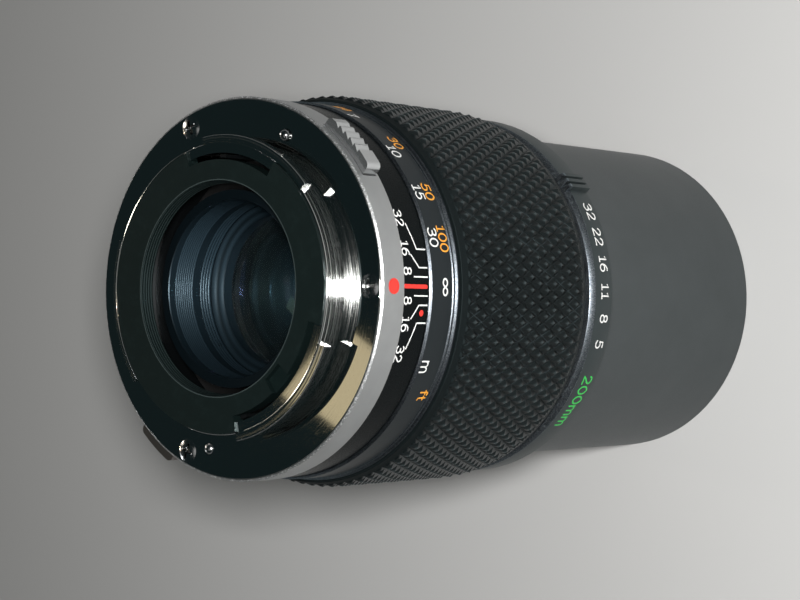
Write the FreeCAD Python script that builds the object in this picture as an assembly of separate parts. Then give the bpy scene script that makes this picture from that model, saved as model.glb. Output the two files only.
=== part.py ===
import FreeCAD, Part
import math
import os

# A telephoto lens with a bayonet mount, a focusing ring, an aperture ring and a built-in hood.
# Millimetres and degrees. The origin is the centre of the mount's flange face, +Z points out of
# the mount, towards the camera body, and +X points to the index mark. The optical axis is Z.
# Sizes along the axis are lengths, chained from the flange face towards the front, at -Z.

Vector = FreeCAD.Vector

# Clearances
running_gap = 0.06
free_gap = 0.35
face_gap = 0.02
lever_gap = 0.15
edge_break = 0.12
cut_margin = 2.00

# Bayonet mount
collar_bore = 20.30
collar_wall = 1.70
collar_height = 3.75
plate_width = 6.72
plate_thickness = 1.40
lug_reach = 1.05
lug_thickness = 1.55
lug_azimuth = 40.0
lug_span = 58.0
lug_count = 3

# Flange screws and pins, on circles a distance outside the collar
screw_offset = 4.70
screw_azimuths = (0.0, 110.6, 248.0)
screw_head_radius = 1.80
screw_head_depth = 0.85
screw_head_dome = 0.35
screw_radius = 1.00
screw_length = 8.00
recess_width = 0.45
recess_length = 2.30
pin_offset = 2.90
guide_pin_azimuth = 257.5
lock_pin_azimuth = 65.0
pin_radius = 0.90
pin_height = 0.90
guide_pin_height = 0.45
lock_collar_width = 0.50
lock_collar_thickness = 0.45
lock_pocket_play = 0.20
lock_pocket_depth = 8.00
lock_travel = 1.30

# Mount ring with its index dot
mount_ring_wall = 0.35
mount_ring_length = 4.94
mount_ring_chamfer = 0.26
index_dot_radius = 1.15
index_dot_drop = 2.60
index_dot_depth = 1.10

# Buttons in the mount ring
button_top = 1.50
button_height = 2.90
button_offset = 2.40
button_side_play = 0.25
button_corner = 0.90
release_azimuth = 44.5
release_reach = 1.63
release_width = 10.60
release_travel = 1.20
release_tooth_count = 5
release_tooth_pitch = 1.30
release_tooth_depth = 0.50
release_tooth_start = -2.30
release_tooth_share = 0.85
release_arm_thickness = 1.00
release_arm_drop = 0.40
release_arm_margin = 0.50
preview_azimuth = 232.5
preview_reach = 1.93
preview_width = 8.00
preview_travel = 1.50
preview_stem_width = 1.60
preview_stem_height = 1.20

# Cover around the rear opening
cover_height = 4.14
cover_depth = 2.14
cover_overlap = 1.40
cover_opening = 16.20
cover_throat = 15.80
cover_slot_depth = 1.00
coupler_slot = (57.0, 107.0)
stop_slot = (281.0, 345.0)
notch_span = (307.0, 319.0)
notch_width = 2.40
notch_depth = 0.90

# Fixed barrel
lever_bore_play = 0.26
lever_bore_length = 5.80
lever_bore_step = 0.36
neck_wall = 0.94
tube_wall = 2.10
tube_setback = 4.91
journal_height = 2.60
journal_length = 2.76
flange_height = 1.60
retainer_height = 1.00
retainer_thickness = 0.70
key_width = 4.00
key_length = 7.40
key_height = 1.15
key_seat_depth = 0.70
key_end_gap = 0.60
key_azimuths = (90.0, 270.0)
key_screw_radius = 0.60
key_screw_head = 1.10
key_screw_head_height = 0.68

# Depth-of-field ring
depth_ring_wall = 0.65
depth_ring_length = 5.80

# Focusing ring, its rubber and its helicoid
focus_gap = 0.11
helicoid_wall = 1.54
sleeve_wall = 1.00
distance_height = 0.38
distance_chamfer = 0.33
distance_length = 6.32
bead_height = 0.42
bead_length = 0.85
grip_thickness = 2.10
grip_length = 31.74
grip_rear_thickness = 1.22
grip_front_thickness = 1.55
grip_bevel = 1.10
helicoid_end_gap = 1.90
set_screw_radius = 0.90
set_screw_azimuths = (60.0, 180.0, 300.0)
stop_pin_radius = 0.40
stop_pin_offset = 1.00
stop_pin_azimuth = 100.0
stop_pin_length = 2.00
stop_groove_depth = 1.10
focus_turn = 208.0
focus_lead = 33.20

# Sliding helicoid barrel
slider_wall = 1.95
slider_end_gap = 0.40
slider_flange_thickness = 2.00
keyway_end_gap = 1.30
barrel_joint_gap = 0.72

# Front barrel, outwards from the front lens
lens_1_radius = 22.00
cell_wall = 2.60
barrel_wall = 1.40
barrel_flange_thickness = 1.80
barrel_flange_width = 1.80
joint_screw_offset = 0.70
joint_screw_azimuths = (20.0, 140.0, 260.0)
joint_screw_radius = 0.45
joint_screw_head = 0.75
joint_screw_head_height = 0.40
stop_ring_height = 0.70
stop_ring_length = 6.50
shoulder_width = 1.00
shoulder_length = 1.20

# Aperture ring
grip_gap = 2.59
aperture_seat_height = 1.30
aperture_wall = 2.82
aperture_length = 5.70
aperture_chamfer = 0.72
aperture_front_break = 0.30
rib_height = 0.82
rib_count = 3
rib_pitch = 2.10
rib_width = 1.35
rib_azimuths = (36.4, 216.4)
stop_marks = (-17.0, -8.5, 0.0, 8.5, 17.0, 25.5)
click_azimuth = 180.0
click_ball_radius = 0.80
click_drop = 3.00
detent_depth = 0.30
ring_keeper_height = 2.30
ring_keeper_thickness = 0.56
link_drop = 0.75
link_thickness = 1.20
link_half_angle = 6.0
link_seat = 0.80
window_margin = 0.5

# Levers behind the cover
lever_tip_play = 0.25
lever_tip_thickness = 0.50
lever_tip_height = 3.90
lever_tip_half_angle = 1.7
lever_thickness = 2.40
lever_drop = 0.60
lever_spacing = 0.40
stop_lever_azimuth = 286.5
stop_lever_start = 240.0
stop_lever_end = 345.0
cam_lobe_start = 205.0
cam_lobe_width = 1.80
stop_lever_turn = 30.0
coupler_azimuth = 86.0
coupler_bridge_thickness = 0.90
rail_half_angle = 2.6
rail_thickness = 0.90
rail_end_gap = 3.20
fork_half_angle = 5.6
fork_overlap = 2.30

# Lens tube and iris
lens_tube_bore = 16.80
lens_tube_wall = 1.40
lens_tube_play = 0.80
iris_wall = 0.85
iris_depth = 3.50
iris_floor = 1.00
iris_opening = 13.90
cam_ring_thickness = 0.80
cam_ring_width = 4.60
cam_ring_drop = 0.30
blade_count = 6
blade_thickness = 0.09
blade_spacing = 0.16
blade_drop = 0.22
blade_pivot_inset = 1.84
blade_pivot_depth = 0.80
blade_pin_radius = 0.35
blade_pin_lag = 6.0
blade_ear_lag = 1.5
blade_ear_lead = 2.5
blade_ear_width = 0.65
blade_ear_overlap = 0.50
blade_setback = 1.40
blade_start = 2.0
blade_span = 92.0
blade_turn = 20.0
blade_slot_points = 7

# Rear optics
baffle_rear = 0.70
baffle_bore = 13.50
baffle_wall = 1.45
cell_rear = 9.80
groove_depth = 0.20
fine_groove_start = 0.60
fine_groove_pitch = 0.43
fine_groove_count = 9
coarse_groove_start = 6.00
coarse_groove_pitch = 0.58
coarse_groove_count = 4
baffle_screw_azimuth = 218.0
baffle_screw_drop = 7.70
baffle_screw_radius = 0.60
retaining_cone_drop = 1.25
retaining_cone_depth = 1.05
rear_lens_step = 0.50
rear_aperture_lip = 1.30
rear_cell_lip = 1.40
rear_cell_spigot = 4.98
rear_cell_wall = 1.50
lens_6_drop = 1.80
lens_6_thickness = 2.80
lens_6_bulges = (1.30, 0.80)
lens_5_drop = 2.20
lens_5_thickness = 2.90
lens_5_bulges = (-0.80, -1.00)
tube_rear_overhang = 1.52

# Front optics
lens_4_radius = 16.50
lens_4_drop = 2.86
lens_4_thickness = 2.40
lens_4_bulges = (-0.90, 1.60)
doublet_radius = 20.50
doublet_drop = 14.40
lens_3_thickness = 4.60
lens_3_bulge = -1.00
doublet_joint_bulge = 1.80
lens_2_thickness = 3.00
lens_2_bulge = 2.20
lens_1_drop = 4.00
lens_1_thickness = 3.20
lens_1_bulges = (-0.40, 3.20)
lens_play = 0.05
lens_rim = 0.30
cell_lip = 1.30
spacer_wall = 0.80
keeper_thickness = 1.50
front_cell_overhang = 2.05
front_opening_lip = 1.10
spanner_slot_width = 1.20
spanner_slot_depth = 0.70

# Filter ring
barrel_overhang = 2.15
filter_thread_clear = 2.10
filter_thread_length = 3.60
filter_ring_wall = 2.40
filter_ring_length = 6.00
bezel_clear = 0.45

# Hood
hood_gap = 0.70
hood_play = 0.30
hood_wall = 0.71
hood_overhang = 2.83
hood_lip_length = 2.50
felt_play = 0.30
felt_thickness = 0.20
hood_rim_break = 0.20

# Small coil springs
spring_wire = 0.24
spring_turns = 4
button_spring_radius = 1.22

# Radii, worked out from the collar outwards
collar_radius = collar_bore + collar_wall
plate_radius = collar_radius + plate_width
lug_radius = collar_radius + lug_reach
screw_circle = collar_radius + screw_offset
pin_circle = collar_radius + pin_offset
lock_collar_radius = pin_radius + lock_collar_width
lock_pocket_radius = lock_collar_radius + lock_pocket_play
mount_ring_radius = plate_radius + mount_ring_wall
release_radius = mount_ring_radius + release_reach
preview_radius = mount_ring_radius + preview_reach
cover_radius = collar_bore + cover_overlap
cover_slot_radius = collar_bore - cover_slot_depth
notch_radius = cover_slot_radius - notch_width
lever_tip_outer = collar_bore - lever_tip_play
lever_tip_inner = lever_tip_outer - lever_tip_thickness
lever_bore = collar_radius + lever_bore_play
tube_bore = lever_bore - lever_bore_step
neck_radius = lever_bore + neck_wall
button_inner = neck_radius + button_offset
tube_radius = tube_bore + tube_wall
journal_radius = tube_radius + journal_height
flange_radius = journal_radius + flange_height
stop_pin_circle = journal_radius + stop_pin_offset
retainer_radius = journal_radius + retainer_height
depth_ring_radius = flange_radius + depth_ring_wall
slider_radius = tube_radius + free_gap + slider_wall
key_radius = tube_radius + key_height
key_seat = tube_radius - key_seat_depth
focus_bore = slider_radius + running_gap + helicoid_wall
sleeve_radius = focus_bore + sleeve_wall
distance_radius = sleeve_radius + distance_height
bead_radius = distance_radius + bead_height
grip_radius = sleeve_radius + grip_thickness
grip_rear_radius = sleeve_radius + grip_rear_thickness
grip_front_radius = sleeve_radius + grip_front_thickness

# Radii, worked out from the front lens outwards
barrel_bore = lens_1_radius + cell_wall
barrel_radius = barrel_bore + barrel_wall
barrel_flange_bore = barrel_bore - barrel_flange_width
slider_flange_bore = barrel_flange_bore - 2 * edge_break
joint_screw_circle = barrel_flange_bore + joint_screw_offset
stop_ring_radius = barrel_radius + stop_ring_height
shoulder_bore = barrel_bore - shoulder_width
aperture_seat = barrel_radius + aperture_seat_height
barrel_flange_radius = aperture_seat + aperture_seat_height
aperture_radius = aperture_seat + running_gap + aperture_wall
rib_radius = aperture_radius + rib_height
ring_keeper_radius = barrel_radius + ring_keeper_height
hood_bore = stop_ring_radius + hood_play
hood_radius = hood_bore + hood_wall
felt_bore = barrel_radius + felt_play
hood_lip_bore = felt_bore + felt_thickness + face_gap
filter_thread_radius = lens_1_radius + filter_thread_clear
filter_ring_radius = filter_thread_radius + filter_ring_wall
bezel_radius = lens_1_radius + bezel_clear
front_opening = lens_1_radius - front_opening_lip

# Radii, worked out from the lens tube outwards
lens_tube_radius = lens_tube_bore + lens_tube_wall
stop_lever_inner = lens_tube_radius + lens_tube_play
cam_lobe_radius = stop_lever_inner + cam_lobe_width
coupler_inner = stop_lever_inner + rail_thickness + free_gap + lever_gap
iris_outer = barrel_bore - lens_play
cam_ring_radius = iris_outer - iris_wall - running_gap
cam_ring_inner = cam_ring_radius - cam_ring_width
blade_pivot_radius = cam_ring_radius - blade_pivot_inset
blade_outer = blade_pivot_radius - blade_setback
blade_ear_outer = blade_pivot_radius + blade_ear_width
baffle_radius = baffle_bore + baffle_wall
rear_lens_radius = baffle_bore - rear_lens_step
rear_lens_bore = rear_lens_radius + lens_play
rear_aperture = rear_lens_radius - rear_aperture_lip

# Planes along the axis, worked out from the flange towards the front
focus_travel = focus_lead * focus_turn / 360
z_plate = -plate_thickness
z_ring_front = -mount_ring_length
z_depth_front = z_ring_front - depth_ring_length
z_focus_rear = z_depth_front - focus_gap
z_grip_rear = z_focus_rear - distance_length
z_grip_front = z_grip_rear - grip_length
z_aperture_rear = z_grip_front - grip_gap
z_aperture_front = z_aperture_rear - aperture_length
z_hood_rear = z_aperture_front - hood_gap
z_button_top = -button_top
z_button_low = z_button_top - button_height
z_button_middle = (z_button_top + z_button_low) / 2
z_tube_front = z_grip_front + tube_setback
z_journal_front = z_depth_front - journal_length
z_retainer_front = z_journal_front - focus_gap - retainer_thickness
z_slider_rear = z_retainer_front - slider_end_gap
z_barrel_rear = z_grip_front - barrel_joint_gap
z_slider_front = z_barrel_rear + face_gap
z_seat_rear = z_barrel_rear - barrel_flange_thickness
z_seat_front = z_aperture_front + ring_keeper_thickness + face_gap
z_click = z_aperture_rear - click_drop
z_link_top = z_aperture_rear - link_drop
z_link_low = z_link_top - link_thickness
z_rail_front = z_link_top + rail_end_gap
z_fork_rear = z_rail_front + focus_travel + fork_overlap
z_key_front = z_tube_front + key_end_gap
z_key_rear = z_key_front + key_length
z_shoulder_top = z_link_low - free_gap
z_shoulder_low = z_shoulder_top - shoulder_length
z_tube_flange = z_shoulder_low - face_gap
z_iris_rear = z_tube_flange - shoulder_length - face_gap
z_iris_front = z_iris_rear - iris_depth
z_iris_floor = z_iris_front + iris_floor
z_cam_top = z_iris_rear - cam_ring_drop
z_cam_low = z_cam_top - cam_ring_thickness
z_blade_top = z_cam_low - blade_drop
z_lever_top = z_plate - lever_drop
z_lever_low = z_lever_top - lever_thickness
z_coupler_top = z_lever_low - lever_spacing
z_lever_floor = z_plate - lever_bore_length
z_coupler_low = z_lever_floor + lever_gap
z_lens_6 = -cell_rear - lens_6_drop
z_lens_5 = z_lens_6 - lens_6_thickness - lens_5_drop
z_cell_step = z_lens_5 - lens_5_thickness - face_gap
z_cell_front = z_cell_step - rear_cell_spigot
z_tube_rear = z_cell_step + tube_rear_overhang
z_lens_4 = z_iris_front - lens_4_drop
z_doublet = z_lens_4 - doublet_drop
z_joint = z_doublet - lens_3_thickness
z_lens_1 = z_joint - lens_2_thickness - lens_1_drop
z_front_cell = z_lens_1 - lens_1_thickness - front_cell_overhang
z_barrel_front = z_front_cell - barrel_overhang
z_filter_front = z_barrel_front - filter_ring_length
z_hood_front = z_filter_front - hood_overhang


# Shape helpers
def vector_of(point):
    """A point of a section, as radius and height, in the XZ plane."""
    return Vector(point[0], 0, point[1])


def section(points):
    """Flat closed outline. A step given as a pair of points is an arc through the first to the second."""
    edges = []
    last = points[0]
    for step in points[1:] + [points[0]]:
        if isinstance(step[0], tuple):
            middle, end = step
            edges.append(Part.Arc(vector_of(last), vector_of(middle), vector_of(end)).toShape())
        else:
            end = step
            if math.dist(end, last) > 1e-7:
                edges.append(Part.LineSegment(vector_of(last), vector_of(end)).toShape())
        last = end
    return Part.Face(Part.Wire(edges))


def outward(solid):
    """The same solid with its faces pointing outwards."""
    if solid.Volume < 0:
        solid.reverse()
    return solid


def turned(points, angle=360.0, start=0.0):
    """Section turned about the axis, over a full turn or from one azimuth over an angle."""
    solid = section(points).revolve(Vector(0, 0, 0), Vector(0, 0, 1), angle)
    solid.rotate(Vector(0, 0, 0), Vector(0, 0, 1), start)
    return outward(solid)


def ring(inner, outer, low, high):
    """Plain ring between two radii and two heights."""
    return turned([(inner, low), (outer, low), (outer, high), (inner, high)])


def arc_block(inner, outer, low, high, start, end):
    """Piece of a ring between two azimuths."""
    return turned([(inner, low), (outer, low), (outer, high), (inner, high)], end - start, start)


def rod(radius, low, high):
    """Upright rod on the axis."""
    return Part.makeCylinder(radius, high - low, Vector(0, 0, low))


def cross_rod(radius, start, end, z=0.0):
    """Rod along +X from one distance to another, at a height."""
    return Part.makeCylinder(radius, end - start, Vector(start, 0, z), Vector(1, 0, 0))


def block(x_span, y_span, z_span):
    """Box between three pairs of limits."""
    size = [span[1] - span[0] for span in (x_span, y_span, z_span)]
    return Part.makeBox(size[0], size[1], size[2], Vector(x_span[0], y_span[0], z_span[0]))


def placed(shape, radius=0.0, azimuth=0.0, z=0.0):
    """Copy moved out along +X and up, then swung to an azimuth."""
    copy = shape.copy()
    copy.translate(Vector(radius, 0, z))
    copy.rotate(Vector(0, 0, 0), Vector(0, 0, 1), azimuth)
    return copy


def joined(shapes):
    """One solid from shapes that overlap or share a face."""
    return shapes[0].multiFuse(shapes[1:]).removeSplitter()


def without(shape, cuts):
    """Shape with the cuts taken away."""
    return shape.cut(Part.makeCompound(cuts)) if cuts else shape


def cap_ball(radius, z, rise):
    """Ball through a level circle, which rises over it, or sinks under it, by a height on the axis."""
    ball_radius = (radius ** 2 + rise ** 2) / (2 * abs(rise))
    centre = z + rise - math.copysign(ball_radius, rise)
    return Part.makeSphere(ball_radius, Vector(0, 0, centre), Vector(1, 0, 0))


def cap_height(radius, rise, at):
    """Height of a lens face's cap above its rim, at a distance from the axis."""
    inner = radius - lens_rim
    ball_radius = (inner ** 2 + rise ** 2) / (2 * rise)
    return max(math.sqrt(ball_radius ** 2 - at ** 2) - math.sqrt(ball_radius ** 2 - inner ** 2), 0)


def lens(radius, z_rear, z_front, bulges):
    """Lens element with flat rims. A bulge is the height of a face's cap, negative on a hollow face."""
    body = rod(radius, z_front, z_rear)
    inner = radius - lens_rim
    for z, rise, out in ((z_rear, bulges[0], 1), (z_front, bulges[1], -1)):
        ball = cap_ball(inner, z, rise * out)
        if rise > 0:
            low, high = sorted((z - out * face_gap, z + out * 2 * rise))
            body = joined([body, ball.common(rod(inner + lens_rim / 2, low, high))])
        else:
            body = body.cut(ball)
    return body


def coil(radius, length):
    """Small coil spring of square wire standing on the axis, from height 0 up."""
    rise = length - spring_wire
    turns = min(spring_turns, math.floor(rise / (1.5 * spring_wire)))
    path = Part.makeHelix(rise / turns, rise, radius)
    path.translate(Vector(0, 0, spring_wire / 2))
    inner = radius - spring_wire / 2
    corners = [
        Vector(inner, 0, 0), Vector(inner + spring_wire, 0, 0),
        Vector(inner + spring_wire, 0, spring_wire), Vector(inner, 0, spring_wire),
    ]
    wire = Part.makePolygon(corners + corners[:1])
    return outward(Part.Wire(path).makePipeShell([wire], True, True))


def lying(shape, radius, azimuth, z):
    """Upright shape laid along +X, then placed, so that its foot is at a radius."""
    copy = shape.copy()
    copy.rotate(Vector(0, 0, 0), Vector(0, 1, 0), 90)
    return placed(copy, radius, azimuth, z)


# Mount and its small parts
def flange_screw():
    """Oval-head screw with a cross recess, its flange face at height 0."""
    half = screw_head_radius / 2
    head = ((half, screw_head_dome * 0.75), (0, screw_head_dome))
    body = turned([
        (0, -screw_length), (screw_radius, -screw_length), (screw_radius, -screw_head_depth),
        (screw_head_radius, 0), head,
    ])
    depth = (-screw_head_depth + screw_head_dome, screw_head_dome + 1)
    span = (-recess_length / 2, recess_length / 2)
    width = (-recess_width / 2, recess_width / 2)
    return without(body, [block(span, width, depth), block(width, span, depth)])


def mount_plate():
    body = turned([
        (collar_bore, z_plate), (plate_radius, z_plate), (plate_radius, -edge_break),
        (plate_radius - edge_break, 0), (collar_radius, 0), (collar_radius, collar_height - 2 * edge_break),
        (collar_radius - 2 * edge_break, collar_height), (collar_bore, collar_height),
    ])
    root = collar_radius - 3 * edge_break
    lug_low = collar_height - lug_thickness
    lugs = []
    for index in range(lug_count):
        lugs.append(turned([
            (root, lug_low), (lug_radius, lug_low), (lug_radius, collar_height - edge_break),
            (lug_radius - edge_break, collar_height), (root, collar_height),
        ], lug_span, lug_azimuth + index * 360.0 / lug_count))
    through = turned([
        (0, z_plate - 1), (screw_radius, z_plate - 1), (screw_radius, -screw_head_depth),
        (screw_head_radius, 0), (screw_head_radius, 1), (0, 1),
    ])
    cuts = [placed(through, screw_circle, azimuth) for azimuth in screw_azimuths]
    cuts.append(placed(rod(pin_radius, z_plate - 1, 1), pin_circle, guide_pin_azimuth))
    cuts.append(placed(rod(pin_radius + running_gap, z_plate - 1, 1), pin_circle, lock_pin_azimuth))
    return without(joined([body] + lugs), cuts)


def mount_screws():
    return [placed(flange_screw(), screw_circle, azimuth) for azimuth in screw_azimuths]


def domed_pin(height, low):
    """Pin with a rounded tip, from a low end up to a height."""
    pin = rod(pin_radius, low, height)
    rim = [edge for edge in pin.Edges if edge.BoundBox.ZMin > height - 0.01]
    return pin.makeFillet(pin_radius - edge_break, rim)


def guide_pin():
    return placed(domed_pin(guide_pin_height, z_plate), pin_circle, guide_pin_azimuth)


def lock_collar_low():
    """Lower face of the lock pin's collar, just under the button's arm."""
    arm_low = z_button_top - release_arm_drop - release_arm_thickness
    return arm_low - lever_gap - lock_collar_thickness


def lock_pin():
    low = lock_collar_low()
    foot = -lock_pocket_depth + lock_travel + free_gap
    pin = domed_pin(pin_height, low)
    collar = rod(lock_collar_radius, low, low + lock_collar_thickness)
    shank = rod(pin_radius - spring_wire, foot, low)
    return placed(joined([pin, collar, shank]), pin_circle, lock_pin_azimuth)


def lock_spring():
    length = lock_collar_low() + lock_pocket_depth - 2 * face_gap
    spring = coil(pin_radius + spring_wire / 2, length)
    return placed(spring, pin_circle, lock_pin_azimuth, -lock_pocket_depth + face_gap)


def lock_pocket():
    return placed(rod(lock_pocket_radius, -lock_pocket_depth, z_plate), pin_circle, lock_pin_azimuth)


def arm_limits():
    """Reach across and along of the arm between the release button and the lock pin."""
    swing = math.radians(lock_pin_azimuth - release_azimuth)
    along = pin_circle * math.cos(swing)
    across = pin_circle * math.sin(swing)
    return along, across


def button_windows():
    """Openings for the two buttons and the release arm, cut in the mount ring."""
    height = (z_button_low - button_side_play / 2, z_plate)
    reach = (neck_radius - cut_margin, preview_radius + cut_margin)
    half_release = release_width / 2 + button_side_play
    half_preview = preview_width / 2 + button_side_play
    along, across = arm_limits()
    margin = lock_collar_radius + free_gap
    arm = block((neck_radius - 2 * cut_margin, along + release_travel + margin), (0, across + margin), height)
    release = block(reach, (-half_release, half_release), height)
    preview = block(reach, (-half_preview, half_preview), height)
    return [
        placed(release, 0, release_azimuth), placed(arm, 0, release_azimuth),
        placed(preview, 0, preview_azimuth),
    ]


def mount_ring():
    bore = neck_radius + running_gap
    counterbore = plate_radius + running_gap
    body = turned([
        (bore, z_ring_front), (mount_ring_radius, z_ring_front),
        (mount_ring_radius, -edge_break - mount_ring_chamfer),
        (mount_ring_radius - mount_ring_chamfer, -edge_break), (counterbore, -edge_break),
        (counterbore, z_plate - face_gap), (bore, z_plate - face_gap),
    ])
    cuts = button_windows() + [lock_pocket()]
    for azimuth in screw_azimuths:
        cuts.append(placed(rod(screw_radius + running_gap, z_ring_front - 1, 0), screw_circle, azimuth))
    start = mount_ring_radius - index_dot_depth
    cuts.append(cross_rod(index_dot_radius, start, mount_ring_radius + 1, -index_dot_drop))
    return without(body, cuts)


def index_dot():
    start = mount_ring_radius - index_dot_depth
    return cross_rod(index_dot_radius, start, mount_ring_radius + edge_break / 2, -index_dot_drop)


def rear_cover():
    low = cover_height - cover_depth
    rim = collar_bore - face_gap
    body = turned([
        (cover_throat, low), (rim, low), (rim, collar_height), (cover_radius, collar_height),
        (cover_radius, cover_height), (cover_opening, cover_height),
    ])
    cuts = []
    for start, end in (coupler_slot, stop_slot):
        cuts.append(arc_block(cover_slot_radius, cover_radius + 1, low - 1, cover_height + 1, start, end))
    notch_low = cover_height - notch_depth
    cuts.append(arc_block(notch_radius, cover_slot_radius + 1, notch_low, cover_height + 1, *notch_span))
    return without(body, cuts)


# Buttons, each built facing +X and swung to its place
def release_button():
    half = release_width / 2
    outer = release_radius
    height = (z_button_low, z_button_top)
    body = block((button_inner, outer + 1), (-half, half), height)
    body = body.common(rod(outer, z_button_low - 1, z_button_top + 1))
    corners = [
        edge for edge in body.Edges
        if abs(edge.BoundBox.ZLength - button_height) < 0.01 and edge.BoundBox.XMin > button_inner + 1
    ]
    body = body.makeFillet(button_corner, corners)
    cuts = []
    for index in range(release_tooth_count):
        y = release_tooth_start + index * release_tooth_pitch
        surface = math.sqrt(outer ** 2 - y ** 2)
        floor = surface - release_tooth_depth
        corner_points = [
            Vector(floor, y, z_button_low - 1), Vector(surface + 1, y, z_button_low - 1),
            Vector(surface + 1, y + release_tooth_pitch * release_tooth_share, z_button_low - 1),
            Vector(surface - 0.02, y + release_tooth_pitch * release_tooth_share, z_button_low - 1),
        ]
        outline = Part.makePolygon(corner_points + corner_points[:1])
        cuts.append(Part.Face(outline).extrude(Vector(0, 0, button_height + cut_margin)))
    body = without(body, cuts)
    along, across = arm_limits()
    arm_top = z_button_top - release_arm_drop
    arm_low = arm_top - release_arm_thickness
    arm_half = pin_radius + 2 * running_gap + release_arm_margin
    arm = block((along - arm_half - 1, along + release_travel + arm_half), (half - 1, across + arm_half), (arm_low, arm_top))
    swept = placed(rod(neck_radius + 2 * running_gap, arm_low - 1, arm_top + 1), release_travel)
    slot_radius = pin_radius + 2 * running_gap
    start_hole = placed(rod(slot_radius, arm_low - 1, arm_top + 1), along)
    end_hole = placed(rod(slot_radius, arm_low - 1, arm_top + 1), along + release_travel)
    middle = block((along, along + release_travel), (-slot_radius, slot_radius), (arm_low - 1, arm_top + 1))
    slot = [start_hole, end_hole, middle]
    for piece in slot:
        piece.translate(Vector(0, across, 0))
    arm = without(arm, [swept] + slot)
    return placed(joined([body, arm]), 0, release_azimuth)


def stem_clear():
    """Distance of the preview button's stem from the fixed barrel's bore, before it is pressed."""
    return free_gap + lever_gap + running_gap * 2


def preview_button():
    half = preview_width / 2
    body = block((button_inner, preview_radius + 1), (-half, half), (z_button_low, z_button_top))
    body = body.common(rod(preview_radius, z_button_low - 1, z_button_top + 1))
    corners = [
        edge for edge in body.Edges
        if abs(edge.BoundBox.ZLength - button_height) < 0.01 and edge.BoundBox.XMin > button_inner + 1
    ]
    body = body.makeFillet(button_corner, corners)
    stem_half = preview_stem_width / 2
    stem_rise = preview_stem_height / 2
    height = (z_button_middle - stem_rise, z_button_middle + stem_rise)
    stem = block((lever_bore + stem_clear(), button_inner + 1), (-stem_half, stem_half), height)
    return placed(joined([body, stem]), 0, preview_azimuth)


def button_spring(azimuth):
    """Coil spring between the fixed barrel's neck and a button's inner face."""
    length = button_inner - neck_radius - 2 * face_gap
    return lying(coil(button_spring_radius, length), neck_radius + face_gap, azimuth, z_button_middle)


def release_spring():
    return button_spring(release_azimuth)


def preview_spring():
    return button_spring(preview_azimuth)


# Fixed barrel and the rings on it
def barrel_key(azimuth):
    half = key_width / 2
    return placed(block((key_seat, key_radius), (-half, half), (z_key_front, z_key_rear)), 0, azimuth)


def key_screw(azimuth):
    middle = (z_key_front + z_key_rear) / 2
    top = key_radius - edge_break
    shank = cross_rod(key_screw_radius, tube_bore + edge_break, top - edge_break, middle)
    head = cross_rod(key_screw_head, top - key_screw_head_height, top, middle)
    return placed(joined([shank, head]), 0, azimuth)


def fixed_barrel():
    top = z_plate - face_gap
    step = z_ring_front - face_gap
    body = turned([
        (lever_bore, top), (neck_radius, top), (neck_radius, step), (flange_radius, step),
        (flange_radius, z_depth_front), (journal_radius, z_depth_front), (journal_radius, z_journal_front),
        (tube_radius, z_journal_front), (tube_radius, z_tube_front), (tube_bore, z_tube_front),
        (tube_bore, z_lever_floor), (lever_bore, z_lever_floor),
    ])
    cuts = [lock_pocket()]
    for azimuth in screw_azimuths:
        cuts.append(placed(rod(screw_radius, -screw_length - free_gap, 0), screw_circle, azimuth))
    for azimuth in key_azimuths:
        cuts.append(barrel_key(azimuth))
        cuts.append(key_screw(azimuth))
    stem_half = preview_stem_width / 2 + button_side_play
    stem_rise = preview_stem_height / 2 + button_side_play
    height = (z_button_middle - stem_rise, z_button_middle + stem_rise)
    stem_hole = block((lever_bore - 2, neck_radius + 1), (-stem_half, stem_half), height)
    cuts.append(placed(stem_hole, 0, preview_azimuth))
    stop_hole = rod(stop_pin_radius, z_depth_front - 1, z_depth_front + stop_pin_length)
    cuts.append(placed(stop_hole, stop_pin_circle, stop_pin_azimuth))
    return without(body, cuts)


def guide_keys():
    return [without(barrel_key(azimuth), [key_screw(azimuth)]) for azimuth in key_azimuths]


def key_screws():
    return [key_screw(azimuth) for azimuth in key_azimuths]


def focus_stop_pin():
    low = z_focus_rear - stop_groove_depth + lever_gap
    return placed(rod(stop_pin_radius, low, z_depth_front + stop_pin_length), stop_pin_circle, stop_pin_azimuth)


def depth_scale_ring():
    high = z_ring_front - face_gap
    inner = flange_radius + face_gap
    return turned([
        (inner, z_depth_front), (depth_ring_radius, z_depth_front),
        (depth_ring_radius, high), (inner, high),
    ])


def focus_retainer():
    """Ring screwed against the journal's end, which keeps the focusing ring in its place."""
    high = z_journal_front - focus_gap / 2
    return ring(tube_radius + face_gap, retainer_radius, high - retainer_thickness, high)


# Focusing ring
def focus_ring():
    bore = journal_radius + running_gap
    rear_inner = distance_radius - distance_chamfer
    z_bead = z_grip_rear + bead_length
    z_inner = z_journal_front + focus_gap / 2
    front = z_grip_front + edge_break * 2
    body = turned([
        (bore, z_focus_rear), (rear_inner, z_focus_rear), (distance_radius, z_focus_rear - distance_chamfer),
        (distance_radius, z_bead), (bead_radius, z_bead - bead_height), (bead_radius, z_grip_rear + face_gap),
        (sleeve_radius, z_grip_rear + face_gap), (sleeve_radius, front), (focus_bore, front),
        (focus_bore, z_inner), (bore, z_inner),
    ])
    margin = math.degrees(stop_pin_radius / stop_pin_circle) + 1.0
    half = stop_pin_radius + free_gap / 2
    groove = arc_block(
        stop_pin_circle - half, stop_pin_circle + half, z_focus_rear - stop_groove_depth, z_focus_rear + 1,
        stop_pin_azimuth - margin, stop_pin_azimuth + focus_turn + margin,
    )
    cuts = [groove]
    for azimuth in set_screw_azimuths:
        cuts.append(placed(set_screw(), 0, azimuth))
    return without(body, cuts)


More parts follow.
